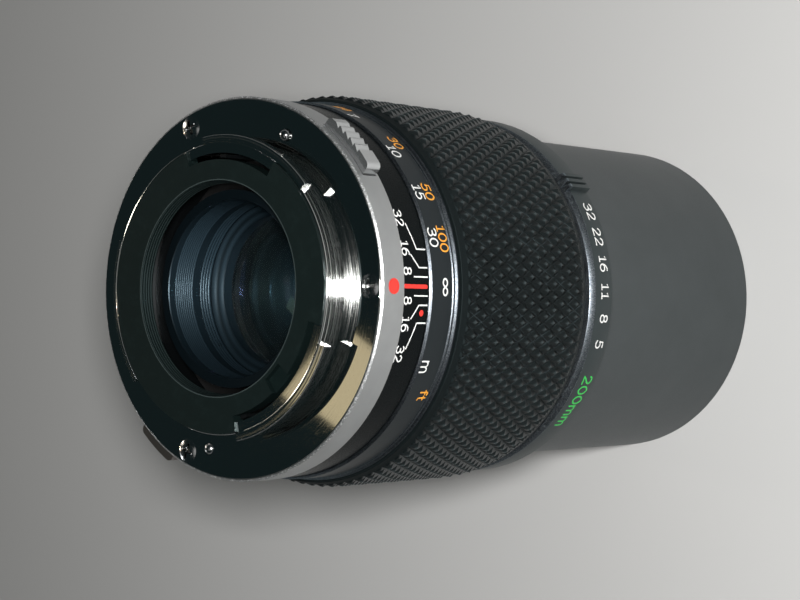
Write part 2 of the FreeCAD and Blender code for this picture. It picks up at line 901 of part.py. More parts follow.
def set_screw():
    """Radial screw that locks the brass helicoid in the focusing ring."""
    z = (z_grip_rear + z_grip_front) / 2
    return cross_rod(set_screw_radius, (slider_radius + focus_bore) / 2, sleeve_radius - face_gap, z)


def helicoid_set_screws():
    return [placed(set_screw(), 0, azimuth) for azimuth in set_screw_azimuths]


def focus_helicoid():
    body = ring(slider_radius + running_gap, focus_bore - face_gap, z_grip_front + helicoid_end_gap, z_slider_rear)
    return without(body, [placed(set_screw(), 0, azimuth) for azimuth in set_screw_azimuths])


def grip_rubber():
    inner = sleeve_radius + face_gap
    return turned([
        (inner, z_grip_rear), (grip_rear_radius, z_grip_rear), (grip_front_radius, z_grip_rear - grip_bevel),
        (grip_radius, z_grip_rear - 1.5 * grip_bevel), (grip_radius, z_grip_front + 1.5 * grip_bevel),
        (grip_front_radius, z_grip_front + grip_bevel / 2), (grip_front_radius, z_grip_front),
        (inner, z_grip_front),
    ])


# Sliding barrels
def helicoid_barrel():
    inner = tube_radius + free_gap
    step = z_slider_front + slider_flange_thickness
    body = turned([
        (inner, z_slider_rear), (slider_radius, z_slider_rear), (slider_radius, z_slider_front),
        (slider_flange_bore, z_slider_front), (slider_flange_bore, step), (inner, step),
    ])
    half = key_width / 2 + running_gap
    height = (z_key_front - keyway_end_gap, z_key_rear + focus_travel + keyway_end_gap)
    keyway = block((inner - 1, key_radius + free_gap), (-half, half), height)
    cuts = [placed(keyway, 0, azimuth) for azimuth in key_azimuths]
    cuts += joint_screw_shapes()
    return without(body, cuts)


def joint_screw_shapes():
    """Axial screws that join the sliding barrel and the front barrel."""
    top = z_slider_front + slider_flange_thickness
    low = z_seat_rear + edge_break
    screws = []
    for azimuth in joint_screw_azimuths:
        screw = joined([rod(joint_screw_radius, low, top), rod(joint_screw_head, top - 0.5, top + joint_screw_head_height)])
        screws.append(placed(screw, joint_screw_circle, azimuth))
    return screws


def front_barrel():
    z_stop_rear = z_barrel_front + stop_ring_length
    body = turned([
        (barrel_flange_bore, z_barrel_rear), (barrel_flange_radius, z_barrel_rear),
        (barrel_flange_radius, z_seat_rear), (aperture_seat, z_seat_rear), (aperture_seat, z_seat_front),
        (barrel_radius, z_seat_front), (barrel_radius, z_stop_rear), (stop_ring_radius, z_stop_rear),
        (stop_ring_radius, z_barrel_front), (barrel_bore, z_barrel_front), (barrel_bore, z_shoulder_low),
        (shoulder_bore, z_shoulder_low), (shoulder_bore, z_shoulder_top), (barrel_bore, z_shoulder_top),
        (barrel_bore, z_seat_rear), (barrel_flange_bore, z_seat_rear),
    ])
    margin = link_half_angle + window_margin
    window = arc_block(
        barrel_bore - 1, aperture_seat + 1, z_link_low - lever_gap, z_link_top + lever_gap,
        coupler_azimuth - stop_marks[-1] - margin, coupler_azimuth - stop_marks[0] + margin,
    )
    click_hole = cross_rod(click_ball_radius + running_gap, barrel_bore, aperture_seat + 1, z_click)
    click_hole = placed(click_hole, 0, click_azimuth)
    return without(body, [window, click_hole] + joint_screw_shapes())


def click_ball():
    centre = aperture_seat - click_ball_radius - running_gap
    return placed(Part.makeSphere(click_ball_radius, Vector(centre, 0, z_click)), 0, click_azimuth)


def click_spring():
    length = aperture_seat - 2 * click_ball_radius - running_gap - barrel_bore - 2 * face_gap
    spring = coil(click_ball_radius - spring_wire / 2, length)
    return lying(spring, barrel_bore + face_gap, click_azimuth, z_click)


def ring_keeper():
    high = z_seat_front - face_gap
    return ring(barrel_radius + face_gap, ring_keeper_radius, high - ring_keeper_thickness, high)


# Aperture ring
def aperture_ring():
    bore = aperture_seat + running_gap
    recess = ring_keeper_radius + running_gap * 2
    recess_floor = z_seat_front + running_gap
    body = turned([
        (bore, z_aperture_rear), (aperture_radius - aperture_chamfer, z_aperture_rear),
        (aperture_radius, z_aperture_rear - aperture_chamfer),
        (aperture_radius, z_aperture_front + aperture_front_break),
        (aperture_radius - aperture_front_break, z_aperture_front), (recess, z_aperture_front),
        (recess, recess_floor), (bore, recess_floor),
    ])
    ribs = []
    for centre in rib_azimuths:
        for index in range(rib_count):
            middle = centre + (index - (rib_count - 1) / 2) * rib_pitch
            start = middle - rib_width / 2
            ribs.append(arc_block(
                bore + 1, rib_radius, z_aperture_front, z_aperture_rear, start, start + rib_width,
            ))
    cuts = [link_block(link_seat)]
    for mark in stop_marks:
        detent = rod(click_ball_radius, z_click - click_ball_radius, z_click + click_ball_radius)
        detent = placed(detent, bore + detent_depth - click_ball_radius)
        cuts.append(placed(detent, 0, click_azimuth + mark))
    return without(joined([body] + ribs), cuts)


def link_block(depth):
    """Tab from the lever's radius out into the aperture ring, to a depth in its bore."""
    return arc_block(
        coupler_inner + free_gap, aperture_seat + depth, z_link_low, z_link_top,
        coupler_azimuth - link_half_angle, coupler_azimuth + link_half_angle,
    )


def fork(inner, outer, low, high, azimuth):
    """Two prongs that hold a rail between them."""
    gap = rail_half_angle + math.degrees(lever_gap / inner)
    end = gap + fork_half_angle - rail_half_angle
    return [
        arc_block(inner, outer, low, high, azimuth - end, azimuth - gap),
        arc_block(inner, outer, low, high, azimuth + gap, azimuth + end),
    ]


def aperture_link():
    inner = coupler_inner + free_gap
    prongs = fork(inner, inner + rail_thickness, z_link_low, z_fork_rear, coupler_azimuth)
    return joined([link_block(link_seat)] + prongs)


def aperture_coupler():
    inner = coupler_inner
    outer = lever_bore - running_gap
    tip_span = (coupler_azimuth - lever_tip_half_angle, coupler_azimuth + lever_tip_half_angle)
    rail_span = (coupler_azimuth - rail_half_angle, coupler_azimuth + rail_half_angle)
    rail_inner = inner + free_gap
    z_bridge = z_lever_top + free_gap
    z_bridge_low = z_bridge - coupler_bridge_thickness
    return joined([
        ring(inner, outer, z_coupler_low, z_coupler_top),
        arc_block(inner, rail_inner + rail_thickness, z_coupler_low, z_bridge, *tip_span),
        arc_block(lever_tip_inner, rail_inner + rail_thickness, z_bridge_low, z_bridge, *tip_span),
        arc_block(lever_tip_inner, lever_tip_outer, z_bridge_low, lever_tip_height, *tip_span),
        arc_block(rail_inner, rail_inner + rail_thickness, z_rail_front, z_coupler_top, *rail_span),
    ])


def stop_down_lever():
    outer = lever_bore - running_gap
    tip_span = (stop_lever_azimuth - lever_tip_half_angle, stop_lever_azimuth + lever_tip_half_angle)
    rail_span = (stop_lever_azimuth - rail_half_angle, stop_lever_azimuth + rail_half_angle)
    inner = stop_lever_inner
    return joined([
        arc_block(inner, outer, z_lever_low, z_lever_top, stop_lever_start, stop_lever_end),
        arc_block(inner, cam_lobe_radius, z_lever_low, z_lever_top, cam_lobe_start, stop_lever_start),
        arc_block(lever_tip_inner, lever_tip_outer, z_lever_low, lever_tip_height, *tip_span),
        arc_block(inner, inner + rail_thickness, z_rail_front, z_lever_top, *rail_span),
    ])


# Iris
def blade_pin_position(turn):
    """Place of a blade's drive pin after the blade has turned about its pivot."""
    lag = math.radians(blade_pin_lag)
    x = blade_pivot_radius * math.cos(lag) - blade_pivot_radius
    y = -blade_pivot_radius * math.sin(lag)
    swing = math.radians(turn)
    return (
        blade_pivot_radius + x * math.cos(swing) - y * math.sin(swing),
        x * math.sin(swing) + y * math.cos(swing),
    )


def cam_slot():
    """Slot along the drive pin's path as the cam ring sees it, with a round end at each end."""
    half = blade_pin_radius + running_gap
    centres = []
    for index in range(blade_slot_points):
        share = index / (blade_slot_points - 1)
        x, y = blade_pin_position(share * blade_turn)
        back = -math.radians(share * stop_lever_turn)
        centres.append(Vector(
            x * math.cos(back) - y * math.sin(back), x * math.sin(back) + y * math.cos(back), z_cam_low - 1,
        ))
    curve = Part.BSplineCurve()
    curve.interpolate(centres)
    sides = ([], [])
    for point in centres:
        tangent = curve.tangent(curve.parameter(point))[0]
        normal = Vector(-tangent.y, tangent.x, 0)
        sides[0].append(point + normal * half)
        sides[1].append(point - normal * half)
    edges = []
    for side in sides:
        edge = Part.BSplineCurve()
        edge.interpolate(side)
        edges.append(edge.toShape())
    first = curve.tangent(curve.FirstParameter)[0]
    last = curve.tangent(curve.LastParameter)[0]
    edges.append(Part.Arc(sides[0][0], centres[0] - first * half, sides[1][0]).toShape())
    edges.append(Part.Arc(sides[0][-1], centres[-1] + last * half, sides[1][-1]).toShape())
    wire = Part.Wire(Part.__sortEdges__(edges))
    return outward(Part.Face(wire).extrude(Vector(0, 0, cam_ring_thickness + 2)))


def iris_cam_ring():
    body = ring(cam_ring_inner, cam_ring_radius, z_cam_low, z_cam_top)
    slot = cam_slot()
    slots = [placed(slot, 0, index * 360.0 / blade_count) for index in range(blade_count)]
    inner = stop_lever_inner + running_gap * 2
    prongs = fork(inner, inner + rail_thickness, z_cam_low, z_fork_rear, stop_lever_azimuth)
    return joined([without(body, slots)] + prongs)


def iris_housing():
    outer = iris_outer
    body = turned([
        (outer - iris_wall, z_iris_rear), (outer, z_iris_rear), (outer, z_iris_front),
        (iris_opening, z_iris_front), (iris_opening, z_iris_floor), (outer - iris_wall, z_iris_floor),
    ])
    hole = rod(blade_pin_radius + running_gap, z_iris_front - 1, z_iris_rear)
    cuts = [placed(hole, blade_pivot_radius, index * 360.0 / blade_count) for index in range(blade_count)]
    return without(body, cuts)


def iris_blade(index):
    """Curved blade at its own level, with a pivot pin below and a drive pin above."""
    high = z_blade_top - index * blade_spacing
    low = high - blade_thickness
    ear_start = -blade_pin_lag - blade_ear_lag
    strip = arc_block(iris_opening, blade_outer, low, high, blade_start, blade_span)
    ear = arc_block(blade_outer - blade_ear_overlap, blade_ear_outer, low, high, ear_start, blade_ear_lead)
    pivot = placed(rod(blade_pin_radius, z_iris_floor - blade_pivot_depth, high), blade_pivot_radius)
    x, y = blade_pin_position(0.0)
    drive = rod(blade_pin_radius, low, z_cam_top - edge_break)
    drive.translate(Vector(x, y, 0))
    return placed(joined([strip, ear, pivot, drive]), 0, index * 360.0 / blade_count)


# Lens tube and cells
def lens_tube():
    outer = iris_outer
    low = z_iris_rear + face_gap
    body = turned([
        (lens_tube_bore, z_tube_rear), (lens_tube_radius, z_tube_rear), (lens_tube_radius, z_tube_flange),
        (outer, z_tube_flange), (outer, low), (lens_tube_bore, low),
    ])
    inner = stop_lever_inner
    margin = fork_half_angle + math.degrees(lever_gap / inner) + window_margin
    window = arc_block(
        inner - free_gap, inner + rail_thickness + 2 * free_gap, low - 1, z_tube_flange + 1,
        stop_lever_azimuth - margin, stop_lever_azimuth + stop_lever_turn + margin,
    )
    return without(body, [window])


def rear_cell():
    z_rear = -cell_rear
    z_lip = z_cell_step - cell_lip
    spigot = lens_tube_bore - lens_play
    front_bore = spigot - rear_cell_wall
    lip = rear_lens_radius - rear_cell_lip
    return turned([
        (rear_lens_bore, z_rear), (baffle_radius, z_rear), (baffle_radius, z_cell_step),
        (spigot, z_cell_step), (spigot, z_cell_front), (front_bore, z_cell_front),
        (front_bore, z_lip), (lip, z_lip), (lip, z_cell_step), (rear_lens_bore, z_cell_step),
    ])


def groove_outline(start, pitch, count):
    """Sawtooth steps in the baffle's bore, against stray light."""
    points = []
    for index in range(count):
        z = -start - index * pitch
        points.append((baffle_bore, z))
        points.append((baffle_bore + groove_depth, z - pitch / 2))
    points.append((baffle_bore, -start - count * pitch))
    return points


def rear_baffle():
    z_front = -cell_rear + face_gap
    bore = [(baffle_bore + edge_break, baffle_rear), (baffle_bore, baffle_rear - edge_break)]
    bore += groove_outline(fine_groove_start, fine_groove_pitch, fine_groove_count)
    bore += groove_outline(coarse_groove_start, coarse_groove_pitch, coarse_groove_count)
    body = turned(bore + [(baffle_bore, z_front), (baffle_radius, z_front), (baffle_radius, baffle_rear)])
    return without(body, [baffle_screw()])


def baffle_screw():
    start = baffle_bore + groove_depth / 2
    screw = cross_rod(baffle_screw_radius, start, baffle_radius - edge_break, -baffle_screw_drop)
    return placed(screw, 0, baffle_screw_azimuth)


def rear_retaining_ring():
    outer = baffle_bore - lens_play
    z_rim = -cell_rear + retaining_cone_drop
    z_lens = z_lens_6 + face_gap
    bulge = cap_height(rear_lens_radius, lens_6_bulges[0], rear_aperture)
    z_step = -cell_rear + 2 * face_gap
    return turned([
        (outer, z_rim), (rear_aperture, z_rim - retaining_cone_depth), (rear_aperture, z_lens + bulge),
        (rear_lens_radius - lens_rim / 2, z_lens + bulge), (rear_lens_radius - lens_rim / 2, z_lens),
        (rear_lens_radius, z_lens), (rear_lens_radius, z_step), (outer, z_step),
    ])


def rear_spacer():
    inner = rear_lens_radius - spacer_wall
    bulge = cap_height(rear_lens_radius, lens_6_bulges[1], inner)
    high = z_lens_6 - lens_6_thickness - bulge - face_gap
    return ring(inner, rear_lens_radius, z_lens_5 + face_gap, high)


def lens_6():
    return lens(rear_lens_radius, z_lens_6, z_lens_6 - lens_6_thickness, lens_6_bulges)


def lens_5():
    return lens(rear_lens_radius, z_lens_5, z_lens_5 - lens_5_thickness, lens_5_bulges)


def lens_4():
    return lens(lens_4_radius, z_lens_4, z_lens_4 - lens_4_thickness, lens_4_bulges)


def lens_3():
    return lens(doublet_radius, z_doublet, z_joint, (lens_3_bulge, -doublet_joint_bulge))


def lens_2():
    rear = z_joint - face_gap
    return lens(doublet_radius, rear, rear - lens_2_thickness, (doublet_joint_bulge, lens_2_bulge))


def lens_1():
    return lens(lens_1_radius, z_lens_1, z_lens_1 - lens_1_thickness, lens_1_bulges)


def front_cell():
    z_rear = z_iris_front - face_gap
    outer = barrel_bore - lens_play
    lip = lens_4_radius - cell_lip
    bore_4 = lens_4_radius + lens_play
    middle = doublet_radius - cell_lip
    bore_2 = doublet_radius + lens_play
    bore_1 = lens_1_radius + lens_play
    bulge = cap_height(lens_4_radius, lens_4_bulges[1], lip)
    z_middle = z_lens_4 - lens_4_thickness - bulge - keeper_thickness - 2 * face_gap
    return turned([
        (lip, z_rear), (outer, z_rear), (outer, z_front_cell), (bore_1, z_front_cell),
        (bore_1, z_lens_1), (bore_2, z_lens_1), (bore_2, z_doublet), (middle, z_doublet),
        (middle, z_middle), (bore_4, z_middle), (bore_4, z_lens_4), (lip, z_lens_4),
    ])


def middle_retaining_ring():
    inner = lens_4_radius - cell_lip
    bulge = cap_height(lens_4_radius, lens_4_bulges[1], inner)
    high = z_lens_4 - lens_4_thickness - bulge - face_gap
    return ring(inner, lens_4_radius, high - keeper_thickness, high)


def front_spacer():
    inner = doublet_radius - spacer_wall
    bulge = cap_height(doublet_radius, lens_2_bulge, inner)
    high = z_joint - face_gap - lens_2_thickness - bulge - face_gap
    return ring(inner, doublet_radius, z_lens_1 + face_gap, high)


def front_retaining_ring():
    bulge = cap_height(lens_1_radius, lens_1_bulges[1], front_opening)
    high = z_lens_1 - lens_1_thickness - bulge - face_gap
    low = z_front_cell + 2 * face_gap
    half = spanner_slot_width / 2
    body = ring(front_opening, lens_1_radius, low, high)
    slots = []
    for azimuth in (45.0, 225.0):
        slot = block((front_opening - 1, lens_1_radius + 1), (-half, half), (low - 1, low + spanner_slot_depth))
        slots.append(placed(slot, 0, azimuth))
    return without(body, slots)


def filter_ring():
    spigot = barrel_bore - lens_play
    z_spigot = z_front_cell - 2 * face_gap
    z_step = z_barrel_front - face_gap
    z_thread = z_filter_front + filter_thread_length
    return turned([
        (bezel_radius, z_spigot), (spigot, z_spigot), (spigot, z_step), (filter_ring_radius, z_step),
        (filter_ring_radius, z_filter_front + edge_break), (filter_ring_radius - edge_break, z_filter_front),
        (filter_thread_radius, z_filter_front), (filter_thread_radius, z_thread),
        (bezel_radius, z_spigot - edge_break),
    ])


# Hood
def hood():
    z_lip = z_hood_rear - hood_lip_length
    return turned([
        (hood_bore, z_hood_front + hood_rim_break), (hood_bore + hood_rim_break, z_hood_front),
        (hood_radius - hood_rim_break, z_hood_front), (hood_radius, z_hood_front + hood_rim_break),
        (hood_radius, z_hood_rear), (hood_lip_bore, z_hood_rear), (hood_lip_bore, z_lip), (hood_bore, z_lip),
    ])


def hood_felt():
    low = z_hood_rear - hood_lip_length + edge_break
    return ring(felt_bore, hood_lip_bore - face_gap, low, z_hood_rear - edge_break)


def write_node(name, solids):
    """Write one node, as a solid or as a group of separate solids."""
    solids = solids if isinstance(solids, list) else [solids]
    for solid in solids:
        if not solid.isValid() or len(solid.Solids) != 1:
            print("check", name, "valid", solid.isValid(), "solids", len(solid.Solids))
    shape = solids[0] if len(solids) == 1 else Part.makeCompound(solids)
    shape.exportStep("parts/" + name + ".step")


os.makedirs("parts", exist_ok=True)

makers = [
    mount_plate, mount_screws, guide_pin, mount_ring, index_dot, rear_cover, fixed_barrel, depth_scale_ring,
    focus_retainer, guide_keys, key_screws, focus_stop_pin, lock_pin, lock_spring, release_button,
    release_spring, preview_button, preview_spring, stop_down_lever, aperture_coupler, focus_ring,
    grip_rubber, focus_helicoid, helicoid_set_screws, helicoid_barrel, front_barrel, lens_tube, rear_cell,
    rear_baffle, baffle_screw, rear_retaining_ring, rear_spacer, lens_1, lens_2, lens_3, lens_4, lens_5,
    lens_6, front_cell, front_spacer, middle_retaining_ring, front_retaining_ring, filter_ring,
    iris_housing, iris_cam_ring, ring_keeper, click_ball, click_spring, aperture_ring, aperture_link,
    hood, hood_felt,
]
for maker in makers:
    write_node(maker.__name__, maker())
write_node("joint_screws", joint_screw_shapes())
for number in range(blade_count):
    write_node("iris_blade_" + str(number + 1), iris_blade(number))
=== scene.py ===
# %% [markdown]
# # A telephoto lens, dressed for its portrait
#
# The solids of the lens arrive from the CAD pack already in place. This file gives every one of
# them a finish, and makes the pieces whose charm is in their surface again as finer meshes: the
# knurled rubber grip, the turned rings, the springs and the engraved scales. Sizes are in
# millimetres in the text and are brought to metres when a mesh is made. The optical axis is Z,
# +Z points out of the mount, and azimuth 0, at +X, is the index mark.

import bpy
import numpy as np
from mathutils import Matrix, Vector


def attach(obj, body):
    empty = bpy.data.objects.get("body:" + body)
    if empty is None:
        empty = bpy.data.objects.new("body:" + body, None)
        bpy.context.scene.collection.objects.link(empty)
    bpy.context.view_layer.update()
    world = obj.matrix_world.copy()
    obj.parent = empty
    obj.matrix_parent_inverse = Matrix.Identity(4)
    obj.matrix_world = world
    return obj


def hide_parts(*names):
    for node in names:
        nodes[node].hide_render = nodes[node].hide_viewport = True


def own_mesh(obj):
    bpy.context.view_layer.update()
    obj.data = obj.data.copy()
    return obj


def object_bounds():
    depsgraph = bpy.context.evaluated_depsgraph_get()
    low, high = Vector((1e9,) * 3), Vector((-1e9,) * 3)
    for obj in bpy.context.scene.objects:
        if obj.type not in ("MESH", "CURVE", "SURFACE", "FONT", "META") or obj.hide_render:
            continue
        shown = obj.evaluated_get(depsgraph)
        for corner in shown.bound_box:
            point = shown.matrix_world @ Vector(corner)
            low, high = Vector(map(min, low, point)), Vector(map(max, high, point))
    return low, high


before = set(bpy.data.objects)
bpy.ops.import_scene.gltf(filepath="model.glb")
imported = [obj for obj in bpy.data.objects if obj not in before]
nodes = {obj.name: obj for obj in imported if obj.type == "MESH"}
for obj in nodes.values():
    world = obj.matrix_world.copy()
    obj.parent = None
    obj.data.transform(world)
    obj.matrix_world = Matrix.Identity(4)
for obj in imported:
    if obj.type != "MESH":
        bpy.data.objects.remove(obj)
cad_low, cad_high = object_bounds()

# %% [markdown]
# ## The camera
#
# The lens stands on the rim of its hood and is photographed from behind and above, with the
# camera tipped on its side, so the floor fills the picture. The viewing angle comes from the
# ellipses of the round edges: a long focal length, 31 centimetres from the mount. A camera's own
# axes are the columns of its matrix, which says the roll exactly.

# %% Stand the camera where the photograph was taken
MM = 0.001


def put(name, data):
    """New object in the scene, at the origin."""
    thing = bpy.data.objects.new(name, data)
    bpy.context.scene.collection.objects.link(thing)
    return thing


def stand(name, data, place, right, up, back):
    """Object whose X, Y and Z axes are right, up and back, at a place in millimetres."""
    thing = put(name, data)
    columns = [list(axis) + [0.0] for axis in (right, up, back)] + [[c * MM for c in place] + [1.0]]
    thing.matrix_world = Matrix(columns).transposed()
    return thing


eye = np.array([214.494, -7.323, 220.665])
eye_right = (0.77119495, 0.0, -0.63659905)
eye_up = (0.01169257, 0.99983131, 0.01416473)
eye_back = (0.63649166, -0.01836724, 0.77106485)
view_data = bpy.data.cameras.new("camera")
view_data.sensor_width = 36.0
view_data.lens = 91.48
view_data.clip_start = 0.01
camera = stand("camera", view_data, eye, eye_right, eye_up, eye_back)
bpy.context.scene.camera = camera
bpy.context.scene.view_settings.view_transform = "Standard"
print("camera at", eye, "mm")

# %% [markdown]
# ## Writing a finish as sums
#
# A finish is a tree of shader nodes. Drawn by hand it is a web of wires; written as an expression
# it reads like arithmetic. A Wire is one output socket, and adding or multiplying wires lays down
# the Math node that does it. Everything that isn't plain arithmetic goes through one method,
# node, which takes the type, its settings and what is plugged into it.


# %% A wire, and the tree it belongs to
def laid(operation, reflected=False):
    """Method that lays down one Math node; in a reflected one the wire comes second."""
    def method(self, other=0.0):
        first, second = (other, self) if reflected else (self, other)
        return self.tree.node("Math", {"operation": operation}, {0: first, 1: second})
    return method


class Wire:
    """One output socket; arithmetic on it adds Math nodes."""

    def __init__(self, tree, socket):
        self.tree = tree
        self.socket = socket

    __add__, __radd__ = laid("ADD"), laid("ADD", reflected=True)
    __sub__, __rsub__ = laid("SUBTRACT"), laid("SUBTRACT", reflected=True)
    __mul__, __rmul__ = laid("MULTIPLY"), laid("MULTIPLY", reflected=True)
    __pow__, __rpow__ = laid("POWER"), laid("POWER", reflected=True)
    above, below, at_least = laid("GREATER_THAN"), laid("LESS_THAN"), laid("MAXIMUM")
    sine, cosine, angle_over = laid("SINE"), laid("COSINE"), laid("ARCTAN2")

    def clamped(self):
        return self.tree.node("Clamp", {}, {"Value": self})

    def rise(self, start, slope):
        """0 up to a start, from there climbing by the slope, and never more than 1."""
        return ((self - start) * slope).clamped()

    def towards(self, middle):
        """Cosine of the angle between this azimuth and a middle one, both in degrees."""
        return ((self - middle) * (np.pi / 180.0)).cosine()

    def wave(self, pitch, start=0.0):
        """Sine of this height that starts at a height and repeats every pitch millimetres."""
        return ((self - start) * (2 * np.pi / pitch)).sine()


class Tree:
    """A node tree under construction."""

    def __init__(self, node_tree):
        self.nodes = node_tree.nodes
        self.links = node_tree.links

    def node(self, kind, settings=None, sockets=None, output=0):
        """Adds a node: its settings first, then a value or a wire for each named socket."""
        made = self.nodes.new("ShaderNode" + kind)
        for name, value in (settings or {}).items():
            if name == "stops":
                self.set_stops(made.color_ramp, value)
            else:
                setattr(made, name, value)
        for name, value in (sockets or {}).items():
            if isinstance(value, Wire):
                self.links.new(value.socket, made.inputs[name])
            else:
                made.inputs[name].default_value = value
        return Wire(self, made.outputs[output])

    @staticmethod
    def set_stops(ramp, stops):
        while len(ramp.elements) < len(stops):
            ramp.elements.new(0.5)
        for element, (place, colour) in zip(ramp.elements, stops):
            element.position = place
            element.color = (*colour, 1.0)

    def mix(self, share, first, second):
        """Colour that goes from first to second, each a wire or three numbers, by the share."""
        first, second = (c if isinstance(c, Wire) else (*c, 1.0) for c in (first, second))
        return self.node("Mix", {"data_type": "RGBA"}, {0: share, 6: first, 7: second}, output=2)


print("wires ready")

# %% [markdown]
# ## Floor, light and surroundings
#
# The picture was lit by a flash beside the camera, which falls off across the floor, and by
# very little else. The mirror finish of the mount makes that plain: it shows a dark ceiling and
# one warm patch. So the studio is a pale floor that runs out to a pale horizon, a dark ceiling, a
# small lamp at the camera, a little light from straight above, two soft lamps and a warm bulb low
# down and far behind the lens, and a small warm card. Nothing large may stand 45 to 55 degrees
# up, because that is the part of the room that the mount mirrors towards the camera.

# %% Pale floor
hood_rim_height = cad_low[2]


def plain_floor():
    """Square sheet at the height of the hood's rim, with a faint unevenness in its paint.

    Past the reach of the lamps the paint glows a little, so that the floor stays pale to the
    horizon; near the lens it doesn't, and keeps the shadow."""
    half = 3.0
    corners = [(-half, -half), (half, -half), (half, half), (-half, half)]
    mesh = bpy.data.meshes.new("floor")
    mesh.from_pydata([(x, y, hood_rim_height) for x, y in corners], [], [(0, 1, 2, 3)])
    paint = bpy.data.materials.new("floor_paint")
    paint.use_nodes = True
    tree = Tree(paint.node_tree)
    shader = tree.nodes["Principled BSDF"]
    shader.inputs["Roughness"].default_value = 0.7
    place = tree.node("TexCoord", output=3)
    cloud = tree.node("TexNoise", {}, {"Vector": place, "Scale": 3.0, "Detail": 2.0})
    colour = tree.mix(cloud, (0.425, 0.425, 0.42), (0.445, 0.445, 0.445))
    tree.links.new(colour.socket, shader.inputs["Base Color"])
    parts = tree.node("SeparateXYZ", {}, {0: place})
    x, y = (Wire(tree, parts.socket.node.outputs[i]) for i in (0, 1))
    glow_start, glow_slope = 0.30, 2.5
    far = ((x * x + y * y) ** 0.5).rise(glow_start, glow_slope)
    glow = tree.mix(far, (0.0, 0.0, 0.0), (0.20, 0.20, 0.20))
    tree.links.new(glow.socket, shader.inputs["Emission Color"])
    shader.inputs["Emission Strength"].default_value = 1.0
    mesh.materials.append(paint)
    put("floor", mesh)


plain_floor()
print("floor at", round(hood_rim_height / MM, 2), "mm")


# %% Lamps
def unit(vector):
    vector = np.asarray(vector, float)
    return vector / np.linalg.norm(vector)


def lamp(name, place, aim, size, power, colour, level=(0.0, 1.0, 0.0)):
    """Rectangular lamp at a place, turned to an aim point, both in millimetres, its lower edge
    square to level."""
    data = bpy.data.lights.new(name, "AREA")
    data.shape = "RECTANGLE"
    data.size, data.size_y = size[0] * MM, size[1] * MM
    data.energy = power
    data.color = colour
    back = unit(np.subtract(place, aim))
    right = unit(np.cross(level, back))
    stand(name, data, place, right, np.cross(back, right), back)


lens_middle = (0.0, 0.0, -40.0)
flash_place = eye + 25.0 * np.array(eye_back) + 12.0 * np.array(eye_up)
lamp("flash", flash_place, (260.0, 0.0, -105.0), (60, 40), 3.05, (1.0, 0.99, 0.97))
lamp("overhead", (60.0, -160.0, 900.0), lens_middle, (500, 500), 0.30, (1.0, 0.98, 0.95))
lamp("low_left", (-3900.0, 850.0, 490.0), lens_middle, (1700, 370), 18.0, (1.0, 0.90, 0.78))
lamp("low_right", (-3850.0, -1150.0, 550.0), lens_middle, (700, 500), 7.0, (0.95, 0.98, 1.0))
lamp("bulb", (-3950.0, -60.0, 420.0), lens_middle, (70, 70), 3.0, (1.0, 0.80, 0.55))

# The card hangs where the plate mirrors it: from the eye to the plate, then up at the same angle
card_seen_at = np.array([23.3, -14.2, 0.0])
card_distance = 612.0
card_place = card_seen_at + card_distance * unit(card_seen_at - eye) * (1.0, 1.0, -1.0)
lamp("warm_card", card_place, card_seen_at, (36, 38), 0.0029, (1.0, 0.82, 0.50),
     level=(0.48, 0.79, 0.38))


# %% Surroundings: pale horizon, dark ceiling
world = bpy.data.worlds.new("studio")
world.use_nodes = True
bpy.context.scene.world = world
sky = Tree(world.node_tree)
climb = sky.node("SeparateXYZ", {}, {0: sky.node("TexCoord", output=0)}, output=2)
horizon = [(0.0, (0.28, 0.28, 0.28)), (0.10, (0.17, 0.175, 0.175)),
           (0.24, (0.010, 0.016, 0.017)), (1.0, (0.008, 0.015, 0.016))]
colour = sky.node("ValToRGB", {"stops": horizon}, {"Fac": climb})
sky.links.new(colour.socket, sky.nodes["Background"].inputs["Color"])
print("world ready")

# %% [markdown]
# ## One way to write every finish
#
# Each finish starts from the Principled shader with its plain settings, the ones that are the
# same all over. Then come the things that vary: a grain from noise, the fine lines a lathe leaves,
# wear. All patterns read Object coordinates, which on this model are the real place in metres, so
# a line every tenth of a millimetre stays a tenth of a millimetre on every piece. Turned lines are
# noise in one dimension, along radius plus height: on a flat face the radius changes and draws
# circles, on a barrel the height changes and draws rings.


